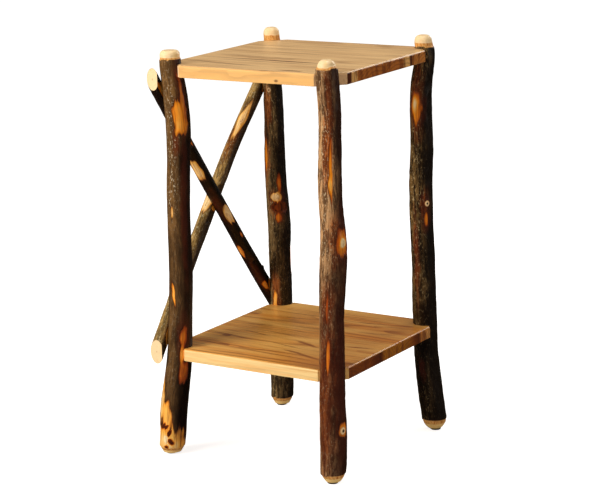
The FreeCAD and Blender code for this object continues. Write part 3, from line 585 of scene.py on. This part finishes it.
def notch(piece, stave, place, twist):
    """Cut the slot that a board's clipped corner stands in; place is the middle of the leg."""
    heading = math.atan2(math.copysign(1, place.y), math.copysign(1, place.x)) + twist
    out = Vector((math.cos(heading), math.sin(heading), 0))
    across = Vector((-out.y, out.x, 0))
    points = [vertex.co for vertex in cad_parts[stave].data.vertices]
    tip = max(points, key=lambda point: point.dot(out))
    reach, sideways = tip.dot(out) + GLUE_GAP, tip.dot(across)
    low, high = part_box(stave)
    corners = []
    for z in (low.z - GLUE_GAP, high.z + GLUE_GAP):
        for deep, wide in ((-NOTCH_LENGTH, -NOTCH_HALF), (0, -NOTCH_HALF), (0, NOTCH_HALF),
                           (-NOTCH_LENGTH, NOTCH_HALF)):
            at = out * (reach + deep * MM) + across * (sideways + wide * MM)
            corners.append((at.x, at.y, z))
    cut_with(piece, add_mesh("cutter", corners, [
        (3, 2, 1, 0), (4, 5, 6, 7), (0, 1, 5, 4), (1, 2, 6, 5), (2, 3, 7, 6), (3, 0, 4, 7)]))


def sink(piece, x, y, z):
    """The round hole in which a screw's head lies, from the -X side."""
    angles = [2 * math.pi * i / SINK_SIDES for i in range(SINK_SIDES)]
    vertices = [(at, y + SINK_RADIUS * math.cos(angle), z + SINK_RADIUS * math.sin(angle))
                for at in (x - OUTSIDE, x + HEAD_DEPTH) for angle in angles]
    faces = [tuple(range(SINK_SIDES))[::-1], tuple(range(SINK_SIDES, 2 * SINK_SIDES))]
    for i in range(SINK_SIDES):
        j = (i + 1) % SINK_SIDES
        faces.append((i, j, SINK_SIDES + j, SINK_SIDES + i))
    cut_with(piece, add_mesh("cutter", vertices, faces))


# Shader nodes

def linear(r, g, b):
    """An sRGB colour from 0 to 255 in linear numbers."""
    def one(value):
        value /= 255.0
        return value / 12.92 if value <= 0.04045 else ((value + 0.055) / 1.055) ** 2.4
    return (one(r), one(g), one(b), 1.0)


class Nodes:
    """Short ways to fill a node tree. A colour is a socket, an sRGB triple or a linear four."""

    def __init__(self, tree):
        self.tree = tree
        tree.nodes.clear()

    def put(self, socket, value):
        """Link a socket to the input or set its value; None leaves it as it is."""
        if isinstance(value, bpy.types.NodeSocket):
            self.tree.links.new(value, socket)
        elif value is not None:
            socket.default_value = value

    def add(self, kind, *values, **settings):
        """A new node, with its settings and the values of its first inputs."""
        node = self.tree.nodes.new("ShaderNode" + kind)
        for title, value in settings.items():
            setattr(node, title, value)
        for socket, value in zip(node.inputs, values):
            self.put(socket, value)
        return node

    def fill(self, node, values):
        """Set inputs of a node by their names."""
        for title, value in values.items():
            self.put(node.inputs[title], value)
        return node

    def math(self, operation, a, b=None, c=None):
        return self.add("Math", a, b, c, operation=operation).outputs[0]

    def plus(self, a, b):
        return self.math("ADD", a, b)

    def minus(self, a, b):
        return self.math("SUBTRACT", a, b)

    def times(self, a, b):
        return self.math("MULTIPLY", a, b)

    def line(self, value, slope, offset):
        return self.math("MULTIPLY_ADD", value, slope, offset)

    def swing(self, noise, size):
        """Noise from 0 to 1 as a sway of the given size to both sides of 0."""
        return self.line(noise, size, -size / 2)

    def vector(self, operation, a, b=None):
        node = self.add("VectorMath", a, b, operation=operation)
        return node.outputs["Value" if operation == "LENGTH" else "Vector"]

    def stretch(self, vector, scale):
        return self.vector("MULTIPLY", vector, scale)

    def step(self, value, low, high, to_low=0.0, to_high=1.0):
        """A soft step between two values."""
        return self.add("MapRange", value, low, high, to_low, to_high,
                        interpolation_type="SMOOTHSTEP").outputs[0]

    def mix(self, factor, a, b):
        node = self.add("Mix", factor, data_type="RGBA")
        for socket, colour in zip(node.inputs[6:8], (a, b)):
            triple = isinstance(colour, tuple) and len(colour) == 3
            self.put(socket, linear(*colour) if triple else colour)
        return node.outputs[2]

    def ramp(self, value, stops):
        node = self.add("ValToRGB", value)
        elements = node.color_ramp.elements
        while len(elements) < len(stops):
            elements.new(0.5)
        for element, (place, colour) in zip(elements, stops):
            element.position, element.color = place, linear(*colour)
        return node.outputs[0]

    def noise(self, vector, scale, detail=4.0, rough=0.55, twist=0.0):
        return self.fill(self.add("TexNoise"), {
            "Vector": vector, "Scale": scale, "Detail": detail, "Roughness": rough,
            "Distortion": twist}).outputs[0]

    def parts(self, vector):
        return self.add("SeparateXYZ", vector).outputs

    def join(self, x, y, z):
        return self.add("CombineXYZ", x, y, z).outputs[0]

    def attribute(self, name, output="Vector"):
        return self.add("Attribute", attribute_name=name).outputs[output]

    def place(self):
        return self.add("TexCoord").outputs["Object"]


class Shader(Nodes):
    """A material with a principled surface."""

    def __init__(self, name):
        self.material = bpy.data.materials.new(name)
        self.material.use_nodes = True
        super().__init__(self.material.node_tree)
        self.bsdf = self.add("BsdfPrincipled")
        self.put(self.add("OutputMaterial").inputs["Surface"], self.bsdf.outputs[0])

    def surface(self, colour, roughness, more=None):
        self.fill(self.bsdf, {"Base Color": colour, "Roughness": roughness, **(more or {})})

    def bump(self, height, distance, strength=1.0):
        node = self.fill(self.add("Bump"), {
            "Strength": strength, "Distance": distance, "Height": height})
        self.put(self.bsdf.inputs["Normal"], node.outputs[0])


CUT_RINGS = 3600.0  # the wave of a sawn pole's rings, in radians to the metre
GROWTH_RING = 0.0068  # from one dark line of a board's grain to the next


def bark_material(name, light, dark, warm, speck_glint_colour, speck_glint_amount, contrast, soft, seed):
    """Varnished bark, with peeled patches, knots, pale whittled ends, painted shade and highlights.
    """
    m = Shader(name)
    centred = m.attribute("grow")
    grow = m.vector("ADD", centred, (seed, seed * 0.7, seed * 0.3))
    peel, hue, reddish = m.parts(m.attribute("skin"))
    tone, knot, ring = m.parts(m.attribute("form"))
    cut = m.parts(m.attribute("cut"))[0]

    def drawn(along, *noise):
        """Noise that is drawn out along the pole; along is 1 for none."""
        return m.noise(m.stretch(grow, (1.0, 1.0, along)), *noise)

    fibre = drawn(0.22, 430, 4, 0.62, 0.3)
    plates = drawn(0.13, 205, 5, 0.66, 0.5)
    cloud = drawn(0.5, 40, 3, 0.5)
    # Bark: dark furrows and cracks, painted shade on one side, pale specks and painted highlights
    furrow = m.step(m.plus(m.times(fibre, 0.35), m.times(plates, 0.65)), 0.44, 0.55)
    crack = m.step(m.math("ABSOLUTE", m.minus(plates, 0.47)), 0.004, 0.030)
    side = m.step(m.plus(tone, m.swing(cloud, 0.7)), 0.12, 0.9)
    texture = m.line(m.times(furrow, crack), contrast, 1 - contrast)
    thin = m.times(reddish, 0.85)
    bark = m.mix(m.times(side, texture), m.mix(thin, dark, (74, 26, 9)), m.mix(thin, light, warm))
    # Pale specks gathered on the lit side: partly the bark's own, partly painted highlights
    gather = m.step(drawn(0.5, 60, 2, 0.5), 0.40, 0.55, 0.6, 1.0)
    gather = m.times(gather, m.attribute("form", "Alpha"))
    speck_glint = m.step(drawn(0.5, 400, 3, 0.6), 0.57, 0.64)
    lit = m.line(side, 0.8, 0.2)
    bark = m.mix(m.times(speck_glint, m.times(m.times(gather, speck_glint_amount), lit)), bark, speck_glint_colour)
    # Wood where the bark is peeled off, darker towards the patch's rim
    streak = drawn(0.06, 430, 3, 0.55)
    tint = m.plus(m.plus(hue, m.swing(cloud, 0.5)), m.step(peel, 0.5, 0.8, -0.10, 0.08))
    wood = m.ramp(tint, [(0.0, (66, 24, 8)), (0.22, (176, 74, 16)), (0.5, (246, 144, 26)),
                         (0.75, (250, 186, 84)), (1.0, (252, 220, 162))])
    wood = m.mix(m.step(streak, 0.46, 0.68, 0.0, 0.6), wood, (150, 70, 20))
    frayed = m.plus(peel, m.swing(plates, 0.34))
    bare = m.step(frayed, 0.475 - soft, 0.505 + soft)
    wood = m.mix(m.step(frayed, 0.50, 0.60, 0.6, 0.0), wood, (132, 54, 14))
    rim = m.times(m.step(frayed, 0.36, 0.46), m.minus(1.0, bare))
    colour = m.mix(bare, m.mix(m.times(rim, 0.6), bark, (74, 30, 12)), wood)
    # Knots
    eye = m.ramp(knot, [(0.0, (58, 32, 18)), (0.44, (96, 44, 18)), (0.56, (244, 196, 136)),
                        (0.72, (250, 214, 160)), (0.84, (84, 44, 22)), (1.0, (30, 16, 10))])
    colour = m.mix(m.times(m.step(knot, 0.42, 0.52), ring), colour, eye)
    # Whittled and sawn wood, with rings and a pith, and a seam of inner bark round it
    x, y, _ = m.parts(centred)
    reach = m.vector("LENGTH", m.join(x, y, 0.0))
    wobble = m.line(m.noise(grow, 90, 2, 0.5), 0.004, reach)
    rings = m.math("SINE", m.times(wobble, CUT_RINGS))
    sap = m.mix(m.step(rings, -0.4, 1.0, 0.0, 0.14), (246, 214, 164), (206, 156, 96))
    sap = m.mix(m.step(reach, 0.0004, 0.0018, 0.5, 0.0), sap, (170, 110, 70))
    sap = m.mix(m.step(drawn(0.13, 260, 3, 0.6), 0.50, 0.75, 0.0, 0.4), sap, (238, 188, 120))
    sap = m.mix(m.times(reddish, 0.65), sap, (255, 208, 112))
    inner_bark = m.mix(m.step(fibre, 0.35, 0.6), (188, 114, 48), (230, 172, 98))
    colour = m.mix(m.step(cut, 0.06, 0.22), colour, inner_bark)
    colour = m.mix(m.step(cut, 0.60, 0.82), colour, sap)
    m.surface(colour, m.step(m.plus(bare, cut), 0.0, 1.0, 0.42, 0.34), {
        "Specular IOR Level": 0.18, "Coat Weight": 0.12, "Coat Roughness": 0.18})
    rough_part = m.minus(1.0, m.math("MAXIMUM", bare, cut))
    m.bump(m.times(m.plus(fibre, m.times(plates, 0.8)), m.line(rough_part, 0.88, 0.12)), 0.0011)
    return m.material


def board_material(name, look, pith, streaks, knots, seed):
    """Straight-grained varnished wood that runs along X, dark where the ends were cut."""
    m = Shader(name)
    own = m.fill(m.add("Mapping", vector_type="POINT"), {
        "Vector": m.place(), "Rotation": (0, 0, -look["turn"])}).outputs[0]
    shifted = m.vector("ADD", own, (seed * 1.37, seed * 0.61, seed * 0.23))

    def drawn(stretch, *noise):
        return m.noise(m.stretch(shifted, stretch), *noise)

    x, y, z = m.parts(own)
    pale, mid, brown, edge = look["pale"], look["mid"], look["brown"], look["edge"]
    # Growth rings round a pith that lies off the board, swayed by slow and fine noise
    sway = m.swing(drawn((1.0, 2.2, 2.2), 5.0, 3, 0.5), 0.036)
    fine_sway = m.swing(drawn((1, 7, 7), 13, 3, 0.5), 0.006)
    off_y = m.plus(m.minus(y, pith[0]), m.plus(sway, fine_sway))
    off_z = m.plus(m.minus(z, pith[1]), m.times(sway, 0.7))
    reach = m.vector("LENGTH", m.join(0.0, off_y, off_z))
    band = m.math("FRACT", m.times(reach, 1 / GROWTH_RING))
    late = m.times(m.step(band, 0.45, 0.93), m.step(band, 0.95, 1.0, 1.0, 0.0))
    broad = drawn((0.09, 1.0, 1.0), 26, 4, 0.55)
    fine = drawn((0.035, 1.0, 1.0), 230, 4, 0.6)
    pores = drawn((0.03, 1.0, 1.0), 950, 3, 0.6)
    colour = m.mix(m.step(broad, 0.34, 0.68), pale, mid)
    lines = m.times(late, m.step(broad, 0.40, 0.62, 0.12, look["lines"]))
    colour = m.mix(lines, colour, brown)
    colour = m.mix(m.step(fine, 0.50, 0.66, 0.0, look["fine"]), colour, brown)
    # Painted shade: the colour darkens towards +X where the look asks for it (the shelf, not the
    # top)
    colour = m.mix(m.step(x, -0.02, 0.16, 0.0, look["darker"]), colour, brown)
    ragged = m.line(pores, 2.0, m.line(fine, 1.6, -1.8))
    for centre_x, centre_y, half_x, half_y, slope, strength in streaks:
        dx = m.minus(x, centre_x / 1000)
        dy = m.plus(m.minus(m.minus(y, centre_y / 1000), m.times(dx, slope)), fine_sway)
        out = m.join(m.times(dx, 1000 / half_x), m.times(dy, 1000 / half_y), 0.0)
        out = m.plus(m.vector("LENGTH", out), ragged)
        colour = m.mix(m.step(out, 0.45, 0.95, strength, 0.0), colour, brown)
    colour = m.mix(m.step(pores, 0.50, 0.72, 0.0, 0.7 * look["fine"]), colour, brown)
    # The long edges, front and back
    normal = m.parts(m.add("NewGeometry").outputs["Normal"])
    face_colour = m.mix(m.step(fine, 0.42, 0.68, 0.0, 0.40), edge, mid)
    face_colour = m.mix(m.step(broad, 0.5, 0.66, 0.0, 0.45), face_colour, mid)
    face_colour = m.mix(m.times(lines, 0.45), face_colour, brown)
    colour = m.mix(m.step(m.math("ABSOLUTE", normal[1]), 0.45, 0.8), colour, face_colour)
    for centre, size in knots:
        away = m.vector("SUBTRACT", own, tuple(value / 1000 for value in centre))
        away = m.vector("LENGTH", m.stretch(away, (600 / size, 1000 / size, 1000 / size)))
        away = m.plus(away, m.swing(fine, 1.0))
        colour = m.mix(m.step(away, 0.5, 1.3, 0.85, 0.0), colour, brown)
    # The sawn ends, left and right: the blocks that the boards were glued from
    blocks = drawn((0.1, 1.0, 0.35), 70, 3, 0.6)
    spot = m.plus(m.line(y, 2.5, 0.5), m.swing(blocks, 0.02))
    end_grain = m.ramp(spot, [(0.5 + at / 400, tone) for at, tone in look["ends"]])
    end_grain = m.mix(m.step(blocks, 0.44, 0.62, 0.0, 0.75), end_grain, (110, 48, 12))
    end_grain = m.mix(m.times(late, 0.4), end_grain, (70, 32, 10))
    end_speck = drawn((0.1, 1.0, 1.0), 1500, 2, 0.5)
    end_grain = m.mix(m.step(end_speck, 0.45, 0.65, 0.0, 0.4), end_grain, (70, 32, 10))
    colour = m.mix(m.step(m.math("ABSOLUTE", normal[0]), 0.80, 0.95), colour, end_grain)
    # The clipped corners
    clipped = m.step(m.math("ABSOLUTE", m.times(normal[0], normal[1])), 0.35, 0.47)
    colour = m.mix(clipped, colour, m.mix(m.step(fine, 0.4, 0.7, 0.0, 0.5), look["clip"], mid))
    m.surface(colour, m.step(pores, 0.4, 0.7, look["gloss"], look["gloss"] + 0.1), {
        "Specular IOR Level": 0.25, "Coat Weight": look["coat"], "Coat Roughness": 0.2})
    m.bump(m.plus(m.times(pores, 0.6), m.times(late, 0.25)), 0.00025, 0.7)
    return m.material


def worn_material(name, grain, low, high, colours, rough, bump, metallic=0.0):
    """One even material, with fine marks that change its colour, roughness and height."""
    m = Shader(name)
    marks = m.noise(m.place(), *grain)
    m.surface(m.mix(m.step(marks, low, high), *colours), m.step(marks, 0.3, 0.7, *rough),
              {"Metallic": metallic})
    m.bump(marks, bump)
    return m.material


# Dressing the pieces

def solids_of(node):
    """Boxes of the separate solids of a node, as pairs of corners."""
    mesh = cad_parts[node].data
    parent = list(range(len(mesh.vertices)))

    def root(i):
        while parent[i] != i:
            parent[i] = parent[parent[i]]
            i = parent[i]
        return i

    near = {}
    for vertex in mesh.vertices:
        key = tuple(round(value * 100000) for value in vertex.co)
        parent[root(vertex.index)] = root(near.setdefault(key, vertex.index))
    for edge in mesh.edges:
        parent[root(edge.vertices[0])] = root(edge.vertices[1])
    groups = {}
    for vertex in mesh.vertices:
        groups.setdefault(root(vertex.index), []).append(vertex.co)
    return [(Vector(map(min, zip(*group))), Vector(map(max, zip(*group))))
            for group in groups.values()]


SHELF_TWIST = math.radians(-1.5)
# Material's name, light, dark, thin bark, colour of the pale specks and painted highlights, how
# many of them, how furrowed, how soft the peels' edges, and seed
BARKS = {
    "leg_front_left": (
        "bark_speckled", (122, 86, 46), (26, 10, 4), (112, 52, 20), (230, 208, 172),
        0.75, 0.50, 0.02, 1.0),
    "leg_front_right": (
        "bark_ridged", (196, 147, 98), (50, 21, 5), (168, 80, 16), (224, 194, 150),
        0.70, 0.80, 0.03, 2.0),
    "leg_back_right": (
        "bark_furrowed", (122, 92, 50), (21, 10, 4), (140, 66, 24), (196, 170, 122),
        0.70, 0.94, 0.07, 3.0),
    "leg_back_left": (
        "bark_brown", (128, 100, 60), (22, 11, 4), (176, 96, 38), (190, 164, 118),
        0.50, 0.80, 0.04, 4.0),
    "brace_stick_inner": (
        "bark_dark", (32, 15, 8), (6, 2, 1), (78, 30, 10), (116, 90, 62), 0.15, 0.50, 0.02, 5.0),
    "brace_stick_outer": (
        "bark_olive", (184, 146, 84), (50, 33, 13), (150, 88, 34), (214, 198, 156),
        0.60, 0.75, 0.03, 6.0),
}
BRACE_SCREWS, CROSSING_SCREW = solids_of("brace_screws"), solids_of("crossing_screw")
ON_STICK = 16 * MM  # how far from a stick's middle line one of its own screws may lie

for name, look in BARKS.items():
    if name.startswith("leg_"):
        piece = build_leg(name)
        for board, twist in (("top_stave_", 0.0), ("shelf_stave_", SHELF_TWIST)):
            notch(piece, board + name.split("_")[1], middle_of(name), twist)
    else:
        piece = build_stick(name)
        low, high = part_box(name)
        start_y, end_y = stick_ends(name)
        for near, far in BRACE_SCREWS + (CROSSING_SCREW if name.endswith("outer") else []):
            middle = (near + far) / 2
            share = (middle.z - low.z) / (high.z - low.z)
            if abs(start_y + share * (end_y - start_y) - middle.y) < ON_STICK:
                sink(piece, near.x, middle.y, middle.z)
    dress(piece, bark_material(*look))
    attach(piece, "root")
    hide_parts(name)

# Looks of the two boards; ends holds the end grain's colours, each with its place in Y in mm
DARK_END, BROWN_END, TAN_END = (84, 34, 8), (190, 110, 40), (250, 190, 112)
AMBER_END, RUST_END, OCHRE_END = (206, 128, 56), (138, 68, 14), (174, 104, 20)
TOP_LOOK = {
    "pale": (234, 192, 134), "mid": (212, 167, 112), "brown": (124, 82, 50),
    "edge": (242, 184, 110), "clip": (255, 204, 150), "turn": 0.0, "gloss": 0.34,
    "coat": 0.1, "lines": 0.5, "fine": 0.36, "darker": 0.0,
    "ends": [(-152, DARK_END), (-138, DARK_END), (-134, TAN_END), (-118, TAN_END),
             (-113, BROWN_END), (56, BROWN_END), (64, TAN_END), (82, TAN_END), (86, DARK_END),
             (92, DARK_END), (95, AMBER_END), (180, AMBER_END)],
}
SHELF_LOOK = {
    "pale": (254, 194, 102), "mid": (234, 152, 60), "brown": (130, 60, 12),
    "edge": (248, 210, 142), "clip": (240, 186, 110), "turn": SHELF_TWIST, "gloss": 0.28,
    "coat": 0.22, "lines": 0.68, "fine": 0.34, "darker": 0.46,
    "ends": [(-152, RUST_END), (-70, RUST_END), (-55, DARK_END), (-38, DARK_END),
             (-26, OCHRE_END), (60, OCHRE_END), (84, RUST_END), (106, DARK_END),
             (116, AMBER_END), (180, TAN_END)],
}
# For each board: place and height of its pith in metres, and its dark streaks (middle x and y,
# half length and half width in mm, slope, strength)
BOARDS = {
    "top_stave_front": ((0, 0.69), [
        (85, -175, 28, 4, 0, 1), (50, -109, 80, 4.5, 0.02, 0.55), (-75, -137, 100, 6, -0.14, 0.65),
        (40, -190, 14, 3, 0, 0.6),
    ]),
    "top_stave_front_middle": ((-0.05, 0.64), [
        (-40, -77, 150, 5, -0.02, 0.9), (25, -78, 90, 6, -0.04, 0.95), (0, -96, 140, 5, 0, 0.55),
        (-60, -40, 100, 4, 0.03, 0.5),
    ]),
    "top_stave_back_middle": ((0.05, 0.61), [
        (50, 40, 110, 3, -0.08, 0.4), (-40, 66, 90, 3, 0.04, 0.35),
    ]),
    "top_stave_back": ((0.16, 0.66), [(85, 133, 80, 4, 0.2, 0.35), (-30, 112, 90, 3, 0, 0.3)]),
    "shelf_stave_front": ((-0.15, 0.16), [
        (32, -145, 110, 3, -0.06, 0.7), (53, -117, 80, 6, -0.37, 0.7),
        (-15, -94, 60, 5, -0.28, 0.7), (-60, -128, 70, 3, -0.1, 0.5),
    ]),
    "shelf_stave_front_middle": ((-0.06, 0.165), [
        (-117, -70, 60, 4, -0.17, 0.8), (43, -60, 44, 6, -0.4, 0.75), (-82, -36, 34, 3, -0.2, 0.7),
        (138, -40, 28, 4, 0.16, 0.9), (-20, -20, 90, 3, -0.06, 0.6), (10, -84, 50, 3, -0.2, 0.6),
    ]),
    "shelf_stave_back_middle": ((0.08, 0.11), [
        (-112, 15, 42, 3, 0.1, 0.75), (120, 58, 50, 3.5, 0.13, 0.65), (-64, 87, 50, 3, 0.17, 0.65),
        (20, 40, 90, 2.5, 0.05, 0.5),
    ]),
    "shelf_stave_back": ((0.2, 0.15), [
        (67, 114, 52, 4, 0.19, 0.8), (142, 129, 40, 4, 0.2, 0.75), (0, 140, 90, 2.5, 0.04, 0.5),
        (-60, 118, 60, 2.5, 0.05, 0.5),
    ]),
}
# Knots of the boards: place and size in mm
BOARD_KNOTS = {"top_stave_front": [((66.7, -193, 711.2), 2.6)],
               "shelf_stave_front_middle": [((-122, -76, 207.5), 6)]}
BOARD_SEED = 11.0  # each board's grain starts elsewhere in the same noise
for index, (node, (pith, streaks)) in enumerate(BOARDS.items()):
    dress(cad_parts[node], board_material(
        node + "_wood", TOP_LOOK if node.startswith("top") else SHELF_LOOK, pith, streaks,
        BOARD_KNOTS.get(node, []), BOARD_SEED + index))

# Zinc-plated screws with turning marks, and dark brown glides, scuffed matt
ZINC = worn_material("zinc_plated", (2600, 3, 0.6), 0.35, 0.65,
                     ((186, 182, 168), (214, 206, 178)), (0.24, 0.42), 0.00008, 1.0)
for node in ("top_screws", "shelf_screws", "brace_screws", "crossing_screw", "glide_nails"):
    dress(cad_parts[node], ZINC)
dress(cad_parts["foot_glides"], worn_material(
    "brown_glide", (700, 5, 0.65), 0.35, 0.7, ((44, 30, 22), (78, 58, 44)), (0.5, 0.75), 0.00015))


# The studio

def studio_surface(name, colour, mirrored, glow):
    """A pale matt surface that keeps shadows and looks almost white to the camera. In the gloss
    it has the mirrored colour; its own light rises from glow at 0.3 m to 1 at 2.5 m."""
    material = bpy.data.materials.new(name)
    material.use_nodes = True
    m = Nodes(material.node_tree)
    path = m.add("LightPath").outputs
    tint = m.mix(path["Is Glossy Ray"], colour, mirrored)
    matt = m.fill(m.add("BsdfDiffuse"), {"Color": tint})
    rise = m.add("MapRange", m.vector("LENGTH", m.place()), 0.3, 2.5, glow, 1.0)
    light = m.fill(m.add("Emission"), {
        "Strength": m.times(path["Is Camera Ray"], rise.outputs[0])})
    both = m.add("AddShader", matt.outputs[0], light.outputs[0])
    m.put(m.add("OutputMaterial").inputs["Surface"], both.outputs[0])
    return material


floor = add_mesh("floor", [(-30, -30, 0), (30, -30, 0), (30, 30, 0), (-30, 30, 0)], [(0, 1, 2, 3)])
dress(floor, studio_surface("pale_floor", (0.62, 0.61, 0.60, 1), (0.06, 0.045, 0.03, 1), 0.82))

# White to the camera, a dim warm light to everything else
world = bpy.context.scene.world or bpy.data.worlds.new("studio")
bpy.context.scene.world = world
world.use_nodes = True
sky = Nodes(world.node_tree)
lit = sky.fill(sky.add("Background"), {"Color": (1.0, 0.88, 0.74, 1), "Strength": 0.12})
seen = sky.fill(sky.add("Background"), {"Color": (1, 1, 1, 1), "Strength": 1.0})
choice = sky.add("MixShader", sky.add("LightPath").outputs["Is Camera Ray"], lit.outputs[0],
                 seen.outputs[0])
sky.put(sky.add("OutputWorld").inputs["Surface"], choice.outputs[0])

CENTRE = Vector((0.0, 0.0, 0.42))  # what the lights face
WHITE = (1.0, 0.99, 0.97)


def direction(azimuth, elevation):
    """A unit vector from the table; azimuth 0 is to the front, 90 to the right."""
    a, e = math.radians(azimuth), math.radians(elevation)
    return Vector((math.sin(a) * math.cos(e), -math.cos(a) * math.cos(e), math.sin(e)))


def softbox(name, azimuth, elevation, distance, size, power, tint, mirrored=True):
    """A square soft light that faces the middle of the table; it may be kept out of the gloss."""
    away = direction(azimuth, elevation)
    data = bpy.data.lights.new(name, "AREA")
    data.shape, data.size, data.energy, data.color = "SQUARE", size, power, tint
    lamp = add_object(name, data)
    lamp.location = CENTRE + away * distance
    lamp.rotation_euler = away.to_track_quat("Z", "Y").to_euler()
    lamp.visible_glossy = mirrored


softbox("key", -30, 22, 2.6, 1.5, 62, WHITE, mirrored=False)
softbox("glint", -36, 30, 2.6, 0.6, 7, WHITE)
softbox("overhead", 90, 82, 2.6, 1.2, 32, WHITE)
softbox("side", 96, 12, 2.8, 1.2, 9, (1.0, 0.92, 0.80))
softbox("back", 165, 29, 2.8, 1.3, 25, (1.0, 0.97, 0.95))

# The camera, at the photograph's place: above the right front corner, a little rolled
AZIMUTH, ELEVATION, ROLL = 30.085, 13.14, math.radians(-1.174)
CAMERA_DISTANCE, TARGET = 3.8097, Vector((-0.00305, -0.0025, 0.3669))
FOCAL_PIXELS, PHOTO_PIXELS, SENSOR = 2068.0, 600, 36.0
away = direction(AZIMUTH, ELEVATION)
level = (-away).cross(Vector((0, 0, 1))).normalized()
upward = level.cross(-away)
right = level * math.cos(ROLL) + upward * math.sin(ROLL)
up = -level * math.sin(ROLL) + upward * math.cos(ROLL)
data = bpy.data.cameras.new("camera")
data.sensor_fit = "HORIZONTAL"
data.sensor_width = SENSOR
data.lens = FOCAL_PIXELS / PHOTO_PIXELS * SENSOR
camera = add_object("camera", data)
rotation = Matrix((right, up, away)).transposed().to_4x4()
camera.matrix_world = Matrix.Translation(TARGET + away * CAMERA_DISTANCE) @ rotation
bpy.context.scene.camera = camera
bpy.context.scene.view_settings.view_transform = "Standard"
